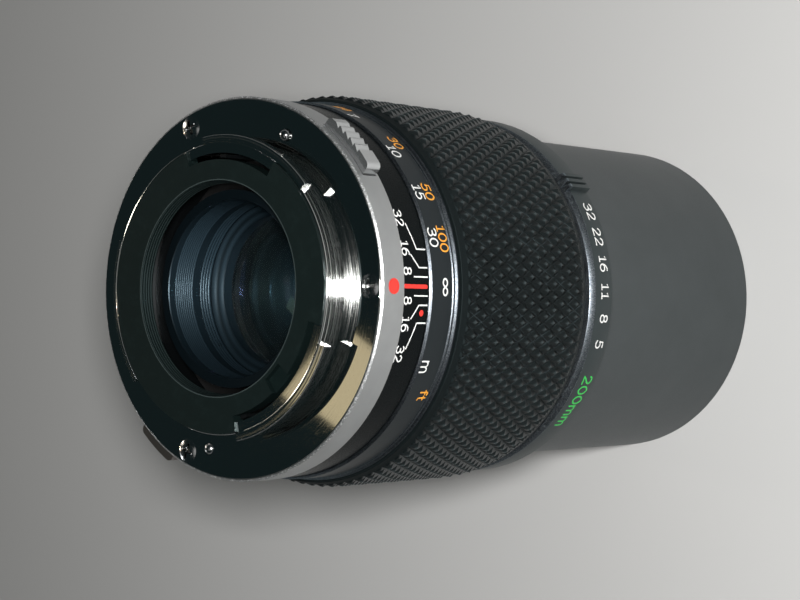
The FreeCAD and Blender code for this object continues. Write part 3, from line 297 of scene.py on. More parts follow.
# %% Finish: a material with its plain settings
class Finish(Tree):
    """A material whose Principled shader takes plain settings first and varied ones after."""

    def __init__(self, name, colour, roughness, metallic=0.0, **settings):
        self.material = bpy.data.materials.new(name)
        self.material.use_nodes = True
        super().__init__(self.material.node_tree)
        self.colour = colour
        settings.update(base_color=(*colour, 1.0), roughness=roughness, metallic=metallic)
        for word, value in settings.items():
            self.socket(word).default_value = value

    def socket(self, word):
        """The shader's input for a word such as base_color or ior."""
        name = word.replace("_", " ").title().replace("Ior", "IOR")
        return self.nodes["Principled BSDF"].inputs[name]

    def vary(self, word, wire):
        self.links.new(wire.socket, self.socket(word))

    def finished(self, height, depth, **varying):
        """The material: what varies is plugged in, with a bump whose full height is depth in
        millimetres."""
        for word, wire in varying.items():
            self.vary(word, wire)
        self.vary("normal", self.node("Bump", {}, {"Distance": depth * MM, "Height": height}))
        return self.material

    def place(self):
        """Object coordinates in millimetres."""
        metres = self.node("TexCoord", output=3)
        return self.node("VectorMath", {"operation": "SCALE"}, {0: metres, "Scale": 1 / MM})

    def around(self):
        """Radius and height in millimetres and azimuth in degrees."""
        split = self.node("SeparateXYZ", {}, {0: self.place()})
        x, y, z = (Wire(self, split.socket.node.outputs[i]) for i in range(3))
        return (x * x + y * y) ** 0.5, z, y.angle_over(x) * (180.0 / np.pi)

    def grain(self, scale, detail=2.0, roughness=0.5):
        """Noise in space, with features about 1 / scale millimetres wide."""
        values = {"Vector": self.place(), "Scale": scale, "Detail": detail, "Roughness": roughness}
        return self.node("TexNoise", {}, values)

    def turned_lines(self, scale, detail=2.0):
        """Noise along radius plus height, about scale lines to the millimetre."""
        radius, height, _ = self.around()
        values = {"W": radius + height, "Scale": scale, "Detail": detail, "Roughness": 0.6}
        return self.node("TexNoise", {"noise_dimensions": "1D"}, values)


def remap(wire, low, high):
    """Wire from 0 to 1 becomes low to high, which may be wires too."""
    return wire * (high - low) + low


def shaded(colour, factor, lift=0.0):
    """Colour made lighter or darker by a factor, then lifted by as much grey."""
    return tuple(c * factor + lift for c in colour)


print("finish helper ready")

# %% [markdown]
# ### Bright metals
#
# The bayonet is chrome plate on turned brass, polished, then scuffed by years of turning in a
# camera. A mirror mostly shows what is round it, so its colour is nearly plain and everything is
# in the roughness: lines of different roughness along the radius stretch the flash's highlight
# into streaks. The ring beside it is satin silver: bead-blasted aluminium under clear anodising.


# %% Chrome, satin silver and steel
def chrome_finish():
    """Flat faces are a clean mirror; the collar's wall, which rubs in a camera, is scuffed."""
    chrome = Finish("polished_chrome", (0.64, 0.65, 0.64), 0.06, metallic=1.0)
    radius, height, _ = chrome.around()
    plate_face, collar_radius = 0.03, 21.78
    wall = height.above(plate_face) * radius.above(collar_radius)
    lines = chrome.turned_lines(3.4, 3.0)
    scuffs = chrome.grain(1.3, 3.0, 0.7)
    streaks = lines.rise(0.44, 5.0)
    rough = remap(wall, remap(streaks, 0.03, 0.05), remap(streaks, 0.06, 0.21))

    def rounded(edge, half):
        """Hump across a broken edge, found by radius less height: its slope swings both ways."""
        across = radius - height - edge
        return (half * half - across * across).at_least(0.0) * (0.25 / half)

    collar_edge, lug_edges = rounded(18.25, 0.24), rounded(19.30, 0.12)
    plate_edge = rounded(28.72, 0.12)
    return chrome.finished(
        lines * wall * 0.0006 + (collar_edge + lug_edges + plate_edge), 1.0,
        base_color=chrome.mix(scuffs, (0.60, 0.61, 0.60), (0.68, 0.69, 0.68)),
        roughness=rough + scuffs.rise(0.60, 0.6))


def satin_silver_finish(name, roughness, brightness=1.0):
    """Blasted and anodised; the ring's rear edge is knocked bright in small nicks."""
    silver = Finish(name, (0.42, 0.43, 0.43), roughness, metallic=0.92)
    blasted = silver.grain(9.0, 4.0, 0.7)
    _, height, _ = silver.around()
    nicks = silver.grain(3.2, 3.0, 0.8).rise(0.50, 9.0) * height.above(-0.39)
    dark, light = (shaded(c, brightness) for c in ((0.33, 0.34, 0.345), (0.41, 0.42, 0.425)))
    body = silver.mix(silver.grain(0.25), dark, light)
    return silver.finished(
        blasted, 0.006, base_color=silver.mix(nicks, body, (0.95, 0.96, 0.96)),
        roughness=remap(blasted, roughness * 0.8, roughness * 1.33))


def steel_finish(name, darkened_below=None):
    """Nickelled steel; in a screw's recess, below a height, it is made near black and rougher."""
    steel = Finish(name, (0.60, 0.61, 0.62), 0.2, metallic=1.0)
    worn = steel.grain(3.5, 4.0, 0.7)
    rough = remap(worn, 0.04, 0.26)
    colour = steel.mix(worn, (0.48, 0.49, 0.50), (0.68, 0.68, 0.68))
    if darkened_below is not None:
        _, height, _ = steel.around()
        # Below the height, inside the recess, the colour darkens to near black
        recess_darkening = remap(worn, 0.55, 1.0) * height.below(darkened_below)
        rough = rough + recess_darkening * 0.3
        colour = steel.mix(recess_darkening, colour, (0.020, 0.020, 0.018))
    return steel.finished(worn, 0.012, base_color=colour, roughness=rough)


polished_chrome = chrome_finish()
satin_silver = satin_silver_finish("satin_silver", 0.42)
button_silver = satin_silver_finish("button_silver", 0.15, 1.3)
bright_steel = steel_finish("bright_steel")
screw_steel = steel_finish("screw_steel", darkened_below=-0.30)
print("bright metals:", polished_chrome.name, satin_silver.name, bright_steel.name)

# %% [markdown]
# ### Black metals
#
# Four blacks sit side by side on the lens and no two are alike. The scale rings are satin black
# anodised aluminium with the lathe's lines just showing. The hood has the same black with a finer,
# drier surface. The cover in the mount is flat black paint, which is grainy close to. The baffle
# inside has a thin anodised black with grey-blue painted highlights on the lit side of its steps.


# %% Satin blacks
COOL = (0.72, 0.95, 1.0, 1.0)


def satin_black(name, colour, roughness, line_scale, line_depth, gloss, rubbed=()):
    """Black anodising over turned metal, slightly greyer where it has been handled.

    In each rubbed band, from one height to another, the black is worn to gritty bare metal, all
    over where the share is 1 and in patches where it is less."""
    black = Finish(name, colour, roughness, specular_ior_level=gloss, specular_tint=COOL)
    lines = black.turned_lines(line_scale)
    skin = black.mix(black.grain(0.12, 4.0, 0.65), colour, shaded(colour, 1.8, 0.0008))
    rough = remap(black.grain(6.0, 3.0), roughness - 0.07, roughness + 0.09)
    if rubbed:
        _, height, _ = black.around()
        specks = black.grain(3.6, 4.0, 0.85)
        bare = 0.0
        for high, low, share in rubbed:
            band = height.below(high) * height.above(low)
            bare = specks.rise(0.68 - 0.40 * share, 8.0) * band + bare
        grit = black.grain(6.0, 2.0, 0.9).rise(0.44, 6.0)
        metal = black.mix(grit, (0.075, 0.088, 0.105), (0.235, 0.255, 0.275))
        skin = black.mix(bare, skin, metal)
        rough = remap(bare, rough, 0.29)
        black.vary("metallic", bare)
    return black.finished(
        lines + black.grain(12.0) * 0.4, line_depth, base_color=skin, roughness=rough)


# Name, colour, roughness, lathe lines to the millimetre and their depth, gloss
depth_black = satin_black("depth_ring_black", (0.0004, 0.0009, 0.0011), 0.26, 6.0, 0.0010, 0.06)
scale_black = satin_black(
    "scale_black", (0.0046, 0.0060, 0.0072), 0.34, 6.0, 0.0016, 0.19,
    rubbed=((-10.80, -11.19, 1.0), (-15.78, -16.04, 1.0), (-16.34, -16.80, 1.0)))
aperture_black = satin_black(
    "aperture_ring_black", (0.0110, 0.0140, 0.0145), 0.42, 6.0, 0.0016, 0.40,
    rubbed=((-51.40, -52.26, 0.75),))
hood_black = satin_black(
    "hood_black", (0.0225, 0.0240, 0.0250), 0.44, 9.0, 0.0012, 0.50,
    rubbed=((-57.80, -58.10, 0.30),))
lever_black = satin_black("blackened_steel", (0.0012, 0.0014, 0.0016), 0.48, 8.0, 0.0010, 0.12)
print("satin blacks:", depth_black.name, scale_black.name, hood_black.name)


# %% Flat black paint, and the black inside the lens
def matt_skin(paint, dust_and_painted_light):
    """Fine grain, and the paint's colour with a breath of dust in it."""
    dust = paint.grain(0.6, 5.0, 0.8).rise(0.50, 2.5)
    return paint.grain(14.0, 3.0, 0.7), paint.mix(dust, paint.colour, dust_and_painted_light)


def inner_black_finish():
    paint = Finish("inner_black", (0.010, 0.011, 0.012), 0.55, specular_ior_level=0.3)
    grain, skin = matt_skin(paint, (0.017, 0.0185, 0.020))
    return paint.finished(grain, 0.006, base_color=skin, roughness=remap(grain, 0.47, 0.65))


def cover_finish():
    """Flat black paint with fine steps cut in the throat. Its inner edge and the steps have pale
    painted highlights; the outer edge is rubbed bare by lens caps on one side and rounded off."""
    rear_face_height, throat, inner_edge_radius, outer_edge_radius = 4.08, 16.25, 16.34, 21.45
    paint = Finish("cover_black", (0.0032, 0.0064, 0.0062), 0.42, specular_ior_level=0.16,
                   specular_tint=COOL)
    radius, height, azimuth = paint.around()
    grain, skin = matt_skin(paint, (0.0066, 0.0122, 0.0119))
    rear_face = height.above(rear_face_height)
    # Each step's wave is also mixed into the colour below: a pale stripe, a painted highlight
    steps = height.wave(0.42) * (height.below(rear_face_height) * radius.below(throat))
    inner_edge_painted_highlight = rear_face * radius.below(inner_edge_radius) * remap(grain, 0.2, 1.0)
    # Pale paint on the steps and the inner edge: painted highlights
    skin = paint.mix((steps * 0.38 + inner_edge_painted_highlight).clamped(), skin, (0.045, 0.060, 0.060))
    past_edge = (radius - outer_edge_radius).at_least(0.0)
    bare = past_edge.above(0.0) * rear_face * azimuth.towards(145.0).rise(0.72, 12.0)
    return paint.finished(
        (steps + grain * 0.1) * 0.03 - bare * past_edge * past_edge * 1.15, 1.0, metallic=bare,
        base_color=paint.mix(bare, skin, (0.60, 0.57, 0.52)),
        roughness=remap(bare, remap(grain, 0.34, 0.52), 0.08))


def baffle_finish():
    """Thin black anodising over the steps of the bore. On the side away from the index, which faces
    the flash, the steps are painted lighter towards their crests: a painted highlight.

    Each step is really a little hollow, so its slope is bent by a wave of the same pitch as the
    steps: 0.43 millimetres at the back, 0.58 further in, shallower at the end, none between."""
    black = Finish("baffle_black", (0.0060, 0.0095, 0.0140), 0.34, specular_ior_level=0.24,
                   specular_tint=(0.60, 0.84, 1.0, 1.0))
    _, height, azimuth = black.around()
    wave = 0.0
    for rear, front, pitch, share in (
            (-0.60, -4.47, 0.43, 1.0), (-6.00, -8.32, 0.58, 1.0), (-8.32, -9.60, 0.58, 0.6)):
        zone = height.below(rear) * height.above(front) * share
        wave = zone * height.wave(pitch, rear) + wave
    # The side away from the index faces the flash; its steps get the painted highlight
    side = azimuth.towards(165.0).rise(0.35, 1.55)
    # Painted highlight, strongest towards the crest of each step on the lit side
    dust_and_painted_light = remap(wave, 0.35, 0.75) * height.below(0.60) * remap(side * side, 0.20, 1.0)
    skin = black.mix(dust_and_painted_light, (0.0016, 0.0030, 0.0040), (0.0185, 0.0340, 0.0465))
    return black.finished(
        wave, 0.03, base_color=skin, roughness=remap(black.grain(10.0, 3.0, 0.7), 0.30, 0.42))


cover_black = cover_finish()
inner_black = inner_black_finish()
baffle_black = baffle_finish()
print("flat blacks:", cover_black.name, inner_black.name, baffle_black.name)

# %% [markdown]
# ### Hidden metals, glass, rubber and felt
#
# Inside are a turned aluminium barrel, which shows when the lens is focused close, a brass
# helicoid and small steel parts. The glass is really clear: light goes in, and a thin coating
# tints what little comes back. The coating is the shader's thin film, thick enough to leave a
# green glint. The rear glass has a little dust on it as well.


# %% Barrel aluminium and brass
def turned_metal(name, colour, roughness):
    metal = Finish(name, colour, roughness, metallic=1.0)
    lines = metal.turned_lines(4.0, 3.0)
    return metal.finished(
        lines, 0.003, base_color=metal.mix(metal.grain(0.3, 3.0), shaded(colour, 0.82), colour),
        roughness=remap(lines, roughness - 0.1, roughness + 0.14))


barrel_metal = turned_metal("turned_aluminium", (0.45, 0.45, 0.46), 0.36)
helicoid_brass = turned_metal("greased_brass", (0.70, 0.50, 0.22), 0.30)
button_metal = turned_metal("taupe_anodised", (0.16, 0.15, 0.14), 0.44)
print("hidden metals:", barrel_metal.name, helicoid_brass.name)


# %% Coated glass
def coated_glass_finish(name, haze=0.0):
    """Clear glass with a thin coating. Haze is the share of the surface that dust covers."""
    glass = Finish(name, (0.93, 0.96, 0.97), 0.0, transmission_weight=1.0, ior=1.62,
                   thin_film_thickness=190.0, thin_film_ior=1.38)
    glass.vary("roughness", glass.grain(0.35, 3.0, 0.7).rise(0.52, 0.12))
    if haze:
        dust = glass.node("BsdfDiffuse", {}, {"Color": (0.42, 0.66, 0.70, 1.0)})
        clear = Wire(glass, glass.nodes["Principled BSDF"].outputs[0])
        patches = remap(glass.grain(0.5, 4.0, 0.7), 0.4, 1.6) * haze
        film = glass.node("MixShader", {}, {0: patches, 1: clear, 2: dust})
        glass.links.new(film.socket, glass.nodes["Material Output"].inputs["Surface"])
    return glass.material


coated_glass = coated_glass_finish("coated_glass")
dusty_glass = coated_glass_finish("dusty_glass", haze=0.005)
print("glass:", coated_glass.name, dusty_glass.name)


# %% Rubber and felt
def rubber_finish():
    """Moulded rubber: near black, rubbed and painted lighter at the tips, a painted highlight, and
    pale dust in stretches of the grooves.
    """
    rubber = Finish("grip_rubber_black", (0.004, 0.005, 0.005), 0.32, specular_ior_level=0.22,
                    specular_tint=COOL)
    radius, height, _ = rubber.around()
    pits = rubber.grain(5.0, 4.0, 0.7)
    # Tips: rubbed, and painted lighter as a highlight where light catches them
    tips = radius.rise(30.78, 6.0)
    body = rubber.mix(pits, (0.0002, 0.0005, 0.0006), (0.0016, 0.0026, 0.0028))
    # Colour of the tips: wear and painted highlight together
    rubbed = rubber.mix(pits, (0.0080, 0.0120, 0.0128), (0.0420, 0.0540, 0.0570))
    stretch = rubber.grain(0.35, 3.0, 0.7).rise(0.46, 6.0)
    deep = ((30.46 - radius) * 14.0).clamped()
    dust_end, chamfer_start = -18.9, -18.85
    dust = deep * stretch * remap(pits, 0.2, 1.0) * height.below(dust_end)
    skin = rubber.mix(dust, rubber.mix(tips, body, rubbed), (0.030, 0.041, 0.045))
    rough = remap(pits, 0.24, 0.42) + height.above(chamfer_start) * 0.35
    return rubber.finished(pits, 0.03, base_color=skin, roughness=rough)


def felt_finish():
    felt = Finish("brake_felt", (0.012, 0.012, 0.013), 0.95, sheen_weight=0.6)
    fibres = felt.grain(5.0, 5.0, 0.8)
    return felt.finished(
        fibres, 0.08, base_color=felt.mix(fibres, (0.006, 0.006, 0.007), (0.030, 0.030, 0.032)))


grip_rubber_black = rubber_finish()
brake_felt = felt_finish()
print("soft finishes:", grip_rubber_black.name, brake_felt.name)


# %% Enamels for the scales and the index dot
def enamel(name, colour):
    """Paint filled into engraving: nearly even, with a slightly uneven skin."""
    paint = Finish(name, colour, 0.35, specular_ior_level=0.4)
    skin = paint.grain(4.0, 3.0, 0.6)
    return paint.finished(
        skin, 0.01, base_color=paint.mix(skin, shaded(colour, 0.86), colour),
        roughness=remap(skin, 0.28, 0.46))


white_enamel = enamel("white_enamel", (0.78, 0.79, 0.78))
orange_enamel = enamel("orange_enamel", (0.80, 0.33, 0.025))
green_enamel = enamel("green_enamel", (0.022, 0.50, 0.068))
red_enamel = enamel("red_enamel", (0.68, 0.024, 0.014))
print("enamels: white, orange, green and red")

# %% [markdown]
# ## Dressing the solids
#
# Every solid gets its finish here, in one table: the finish, then its nodes. It covers the solids
# that a finer piece stands for as well.

# %% Give each node its finish
dressing = (
    (polished_chrome, "mount_plate"),
    (satin_silver, "mount_ring"),
    (button_silver, "release_button"),
    (bright_steel, "guide_pin lock_pin lock_spring release_spring preview_spring focus_stop_pin"
                   " key_screws joint_screws helicoid_set_screws click_ball click_spring"
                   " baffle_screw"),
    (lever_black, "stop_down_lever aperture_coupler aperture_link"),
    (screw_steel, "mount_screws"),
    (button_metal, "preview_button"),
    (red_enamel, "index_dot"),
    (cover_black, "rear_cover ring_keeper"),
    (baffle_black, "rear_baffle rear_retaining_ring"),
    (inner_black, "rear_cell rear_spacer lens_tube front_cell front_spacer filter_ring"
                  " middle_retaining_ring front_retaining_ring iris_housing iris_cam_ring"
                  " iris_blade_1 iris_blade_2 iris_blade_3 iris_blade_4 iris_blade_5 iris_blade_6"),
    (depth_black, "depth_scale_ring"),
    (scale_black, "focus_ring"),
    (aperture_black, "aperture_ring"),
    (hood_black, "hood front_barrel"),
    (barrel_metal, "fixed_barrel helicoid_barrel focus_retainer"),
    (helicoid_brass, "focus_helicoid guide_keys"),
    (coated_glass, "lens_1 lens_2 lens_3 lens_4 lens_5"),
    (dusty_glass, "lens_6"),
    (grip_rubber_black, "grip_rubber"),
    (brake_felt, "hood_felt"),
)
bare = set(nodes)
for finish, names in dressing:
    for name in names.split():
        nodes[name].data.materials.clear()
        nodes[name].data.materials.append(finish)
        bare.discard(name)
print("nodes without a finish:", sorted(bare))

# %% [markdown]
# ## From arrays to meshes
#
# The turned pieces of a lens are profiles swept round an axis, so they are grids: one direction
# runs along the profile, the other round the axis. numpy works out all the points at once, and a
# grid's faces are the same four neighbours everywhere. A real edge is never knife-sharp, and its
# tiny curve is what catches the light, so every corner of a profile is eased into an arc first.
# The arc's normals are known exactly and are given to the mesh, so broad faces stay perfectly
# even beside a narrow edge, which smooth shading alone would spoil.


# %% Grid of points to piece
def around_axis(radius, angle, height):
    """Points (radius * cos(angle), radius * sin(angle), height), the angle in radians."""
    return np.stack(np.broadcast_arrays(radius * np.cos(angle), radius * np.sin(angle), height), -1)


def ring_faces(rows, columns, close_rows=True):
    """Quads of a grid that closes round its columns, and over its rows if close_rows.

    Azimuth grows with the column. Where the rows climb on the outside, the quads face out."""
    row = np.arange(rows if close_rows else rows - 1)[:, None]
    column = np.arange(columns)[None, :]
    beside = (column + 1) % columns
    row, over = row * columns, (row + 1) % rows * columns
    return np.stack([row + column, row + beside, over + beside, over + column], -1).reshape(-1, 4)


def make_piece(name, points, faces, finishes, normals=None, crease=None, choice=None):
    """Mesh object at the origin. Points in millimetres; choice gives each face its finish."""
    mesh = bpy.data.meshes.new(name)
    mesh.from_pydata((points.reshape(-1, 3) * MM).tolist(), [], faces.tolist())
    for finish in finishes:
        mesh.materials.append(finish)
    if choice is not None:
        mesh.polygons.foreach_set("material_index", choice)
    mesh.shade_smooth()
    if normals is not None:
        mesh.normals_split_custom_set_from_vertices(normals.reshape(-1, 3).tolist())
    if crease is not None:
        mesh.set_sharp_from_angle(angle=np.radians(crease))
    return put(name, mesh)


def fit(thing, body, slot, *stands_for):
    """The piece rides on a body and stands for the named nodes, which are hidden; slot is not used.
    """
    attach(thing, body)
    if stands_for:
        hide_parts(*stands_for)
    print(thing.name, "faces:", len(thing.data.polygons), "rides on", body)
    return thing


print("piece helpers ready")


# %% Profile with eased corners, and the piece it turns into
def eased(profile, ease, steps=4):
    """Closed profile of (radius, height) or (radius, height, ease) with every corner an arc.

    An arc of radius e leaves both edges e * tan(half the turn) before the corner, and its points
    turn evenly from one edge's outward normal to the other's. Returns points and normals."""
    corner = np.array([p[:2] for p in profile], float)
    reach = np.array([p[2] if len(p) == 3 else ease for p in profile], float)
    following = np.roll(corner, -1, 0)
    area = np.sum(corner[:, 0] * following[:, 1] - following[:, 0] * corner[:, 1])
    if area < 0:
        corner, reach = corner[::-1], reach[::-1]
    arriving = corner - np.roll(corner, 1, 0)
    length = np.linalg.norm(arriving, axis=1)
    arriving = arriving / length[:, None]
    leaving = np.roll(arriving, -1, 0)
    cross = arriving[:, 0] * leaving[:, 1] - arriving[:, 1] * leaving[:, 0]
    turn = np.arctan2(cross, np.sum(arriving * leaving, 1))
    half = np.tan(np.abs(turn) / 2) + 1e-9
    room = 0.45 * np.minimum(length, np.roll(length, -1))
    reach = np.minimum(reach, room / half)
    normal = np.stack([arriving[:, 1], -arriving[:, 0]], 1)
    bend = (np.sign(turn) * reach)[:, None]
    centre = corner - arriving * (reach * half)[:, None] - bend * normal
    angle = turn[:, None] * np.linspace(0, 1, steps + 1)
    turned = np.stack([
        normal[:, :1] * np.cos(angle) - normal[:, 1:] * np.sin(angle),
        normal[:, :1] * np.sin(angle) + normal[:, 1:] * np.cos(angle),
    ], -1)
    points = centre[:, None] + bend[:, None] * turned
    return points.reshape(-1, 2), turned.reshape(-1, 2)


def turned_piece(name, profile, finishes, inside=None):
    """Ring turned from a closed profile; faces nearer the axis than inside take finish two."""
    columns = 360
    points, normals = eased(profile, 0.06)
    angle = np.radians(np.arange(columns))
    turned, facing = (around_axis(grid[:, :1], angle, grid[:, 1:]) for grid in (points, normals))
    choice = None
    if inside is not None:
        middle = (points + np.roll(points, -1, 0))[:, 0] / 2
        choice = np.repeat((middle < inside).astype(np.int32), columns)
    faces = ring_faces(len(points), columns)
    return make_piece(name, turned, faces, finishes, facing, choice=choice)


print("an eased square has", len(eased([(1, 0), (2, 0), (2, 1), (1, 1)], 0.1)[0]), "points")

# %% [markdown]
# ## The rings with the scales
#
# Behind the silver ring come two black rings with the scales. The narrow one is fixed and has the
# depth of field marks; the wide one turns with the grip, has the distances, and ends in a small
# bead against the rubber. Their chamfers face the flash and draw the fine bright lines.

# %% Depth scale ring and focusing ring
DEPTH_RADIUS, FOCUS_RADIUS, APERTURE_RADIUS = 28.85, 29.28, 30.18

depth_profile = [(28.22, -4.96), (DEPTH_RADIUS, -4.96), (DEPTH_RADIUS, -10.74), (28.22, -10.74)]
fit(turned_piece("depth_ring_turned", depth_profile, [depth_black]),
    "barrel", "black_enamel", "depth_scale_ring")

focus_profile = [
    (26.66, -10.85), (28.95, -10.85), (FOCUS_RADIUS, -11.18, 0.10), (FOCUS_RADIUS, -15.82, 0.10),
    (29.47, -16.00, 0.12), (29.47, -16.22, 0.12), (29.34, -16.38, 0.08), (29.70, -16.74, 0.16),
    (29.70, -17.15), (28.90, -17.15), (28.90, -48.67), (27.90, -48.67), (27.90, -13.45),
    (26.66, -13.45),
]
fit(turned_piece("focusing_ring_turned", focus_profile, [scale_black]),
    "focus_ring", "black_enamel", "focus_ring")

# %% [markdown]
# ## The rubber grip
#
# The grip is a moulded sleeve with 94 lozenges round its girth. Two families of grooves cross at
# 27 degrees either side of the axis and leave small four-sided pyramids between them. Modelling
# one lozenge and copying it would need a seam at each border. Instead the whole grip is one
# height map on a cylinder, with its grid laid so that every groove, ridge and tip falls on a grid
# point or a diagonal: then a coarse grid is exact, and the creases are perfectly crisp.


# %% Knurled sleeve
def knurled_grip():
    """Sleeve whose radius is a height map over azimuth and height.

    u = 94 * azimuth / 360 + height / 4 and v = 94 * azimuth / 360 - height / 4 are whole numbers
    along the two families of grooves. The pyramid's height is the smaller of the two triangle
    waves of u and v, a little blunted at the tip, and the ends are cut by the sleeve's chamfers."""
    lozenges, pitch, parts = 94, 4.0, 8
    valley, crest = 30.36, 31.0
    columns = lozenges * parts
    step = np.arange(columns)
    level = np.arange(-96, -36)
    height = level * pitch / parts
    u = (step[None, :] + level[:, None]) / parts
    v = (step[None, :] - level[:, None]) / parts
    wave_u = 1 - np.abs(2 * (u - np.floor(u)) - 1)
    wave_v = 1 - np.abs(2 * (v - np.floor(v)) - 1)
    bump = np.minimum(np.minimum(wave_u, wave_v), 0.9) / 0.9
    chamfer = np.interp(height, [-48.36, -47.26, -18.82, -18.27], [30.45, 31.0, 31.0, 30.45])
    radius = np.minimum(valley + (crest - valley) * bump, chamfer[:, None])
    rings_low = np.array([(28.92, -48.91), (30.40, -48.91), (30.45, -48.86), (30.45, -48.36)])
    rings_high = np.array([
        (30.45, -18.27), (30.30, -17.85), (30.15, -17.25), (30.07, -17.17), (28.92, -17.17)])
    plain = np.ones(columns)
    radii = np.concatenate([rings_low[:, :1] * plain, radius, rings_high[:, :1] * plain])
    heights = np.concatenate([rings_low[:, 1], height, rings_high[:, 1]])
    points = around_axis(radii, np.radians(step * 360.0 / columns), heights[:, None])
    quads = ring_faces(len(heights), columns).reshape(len(heights), columns, 4)
    row = np.arange(len(heights))[:, None] - len(rings_low) + level[0]
    falling = ((step[None, :] + row + 1) % parts == 0)[..., None]
    cuts = ([0, 1, 3], [0, 1, 2]), ([1, 2, 3], [0, 2, 3])
    faces = [np.where(falling, quads[..., a], quads[..., b]).reshape(-1, 3) for a, b in cuts]
    return make_piece("grip_knurled", points, np.concatenate(faces), [grip_rubber_black], crease=24)


fit(knurled_grip(), "focus_ring", "black_rubber", "grip_rubber")

# %% [markdown]
# ## Aperture ring and hood
#
# The aperture ring is plain but for two groups of three ribs for finger and thumb. A rib is the
# ring's own profile pushed out, so the piece blends from the plain profile to the ribbed one as
# the azimuth passes each rib. The hood is a thin tube with a rounded rim: satin outside, and flat
# black inside so that no stray light reaches the glass.


# %% Aperture ring with its ribs
def aperture_ring_ribbed():
    """Plain profile blended to a fuller one by a mask that is 1 on each rib and 0 between."""
    foot = [(27.36, -56.56), (28.42, -56.56), (28.42, -57.20)]
    plain, ribbed = (eased(foot + outside + [(27.36, -51.50)], 0.08, 2)[0] for outside in (
        [(29.88, -57.20), (APERTURE_RADIUS, -56.90), (APERTURE_RADIUS, -52.22), (29.46, -51.50)],
        [(30.86, -57.20), (31.00, -57.06), (31.00, -51.72), (30.78, -51.50)]))
    middles = np.array([group + step for group in (36.4, 216.4) for step in (-2.1, 0.0, 2.1)])
    edges = (middles[:, None] + np.array([-0.75, -0.68, -0.60, 0.60, 0.68, 0.75])).ravel()
    azimuths = np.sort(np.concatenate([np.arange(0, 360, 1.0), edges]))
    away = np.abs(azimuths[:, None] - middles).min(1)
    mask = np.clip((0.75 - away) / 0.15, 0, 1)[:, None]
    profile = plain[:, None] * (1 - mask) + ribbed[:, None] * mask
    points = around_axis(profile[..., 0], np.radians(azimuths), profile[..., 1])
    faces = ring_faces(len(plain), len(azimuths))
    return make_piece("aperture_ring_ribbed", points, faces, [aperture_black], crease=35)


fit(aperture_ring_ribbed(), "aperture_ring", "black_enamel", "aperture_ring")

# %% Hood
hood_profile = [
    (27.00, -104.83, 0.2), (27.71, -104.83, 0.2), (27.71, -57.90), (26.52, -57.90),
    (26.52, -60.40), (27.00, -60.40),
]
fit(turned_piece("hood_turned", hood_profile, [hood_black, inner_black], inside=27.3),
    "hood", "black_enamel", "hood")

# %% [markdown]
# ## Springs wound from wire
#
# Three small coil springs push the release button, the lock pin and the stop-down button out. A
# spring can't follow a joint as a rigid piece does; each one is wound here from round wire.


# %% Coil springs
def coil_spring(name, foot, along, radius, length):
    """Round wire wound about the line from the foot along a unit vector.

    The wire's middle is foot + along * h + radius * out, where out turns with the angle and h
    climbs with it. The wire's own circle lies square to its run, along * rise + radius * side."""
    turns, wire = 4, 0.11
    start = unit(np.cross(along, (0.0, 1.0, 0.0) if along[2] > 0.5 else (0.0, 0.0, 1.0)))
    beside = np.cross(along, start)
    angle = np.linspace(0.0, 2 * np.pi * turns, 40 * turns + 1)[:, None]
    out = start * np.cos(angle) + beside * np.sin(angle)
    rise = (length - 2 * wire) / angle[-1]
    middle = foot + along * (wire + rise * angle) + radius * out
    run = along * rise + radius * (beside * np.cos(angle) - start * np.sin(angle))
    run = run / np.linalg.norm(run, axis=1)[:, None]
    square = np.cross(run, out)
    turn = np.radians(np.arange(0, 360, 45))[None, :, None]
    points = middle[:, None] + wire * (out[:, None] * np.cos(turn) + square[:, None] * np.sin(turn))
    end_quads = np.array([[0, 1, 2, 7], [2, 3, 6, 7], [3, 4, 5, 6]])
    last = 8 * (len(angle) - 1)
    faces = np.concatenate([ring_faces(len(angle), 8, False), end_quads[:, ::-1], end_quads + last])
    made = make_piece(name + "_wound", points, faces, [bright_steel], crease=50)
    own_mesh(fit(made, "barrel", "steel", name))


lock_foot = around_axis(24.90, np.radians(65.0), -7.98)
coil_spring("lock_spring", lock_foot, np.array([0.0, 0.0, 1.0]), radius=1.02, length=4.46)
button_foot_radius, button_height = 23.22, -2.95
for name, azimuth, joint, travel in (
        ("release_spring", np.radians(44.5), "release_press", 1.20),
        ("preview_spring", np.radians(232.5), "preview_press", 1.50)):
    foot = around_axis(button_foot_radius, azimuth, button_height)
    outward = around_axis(1.0, azimuth, 0.0)
    coil_spring(name, foot, outward, radius=1.22, length=2.36)

# %% [markdown]
# ## Engraved figures
#
# The scales are figures cut with a round-nosed tool that follows a path, then filled with paint.
# A font would give outlines with square ends; what the tool makes is a stroke of one width with
# round ends. So each figure here is a few points that its path passes through, smoothed by a
# spline, and each stroke is a low rounded bar carried along that path and laid on the ring.

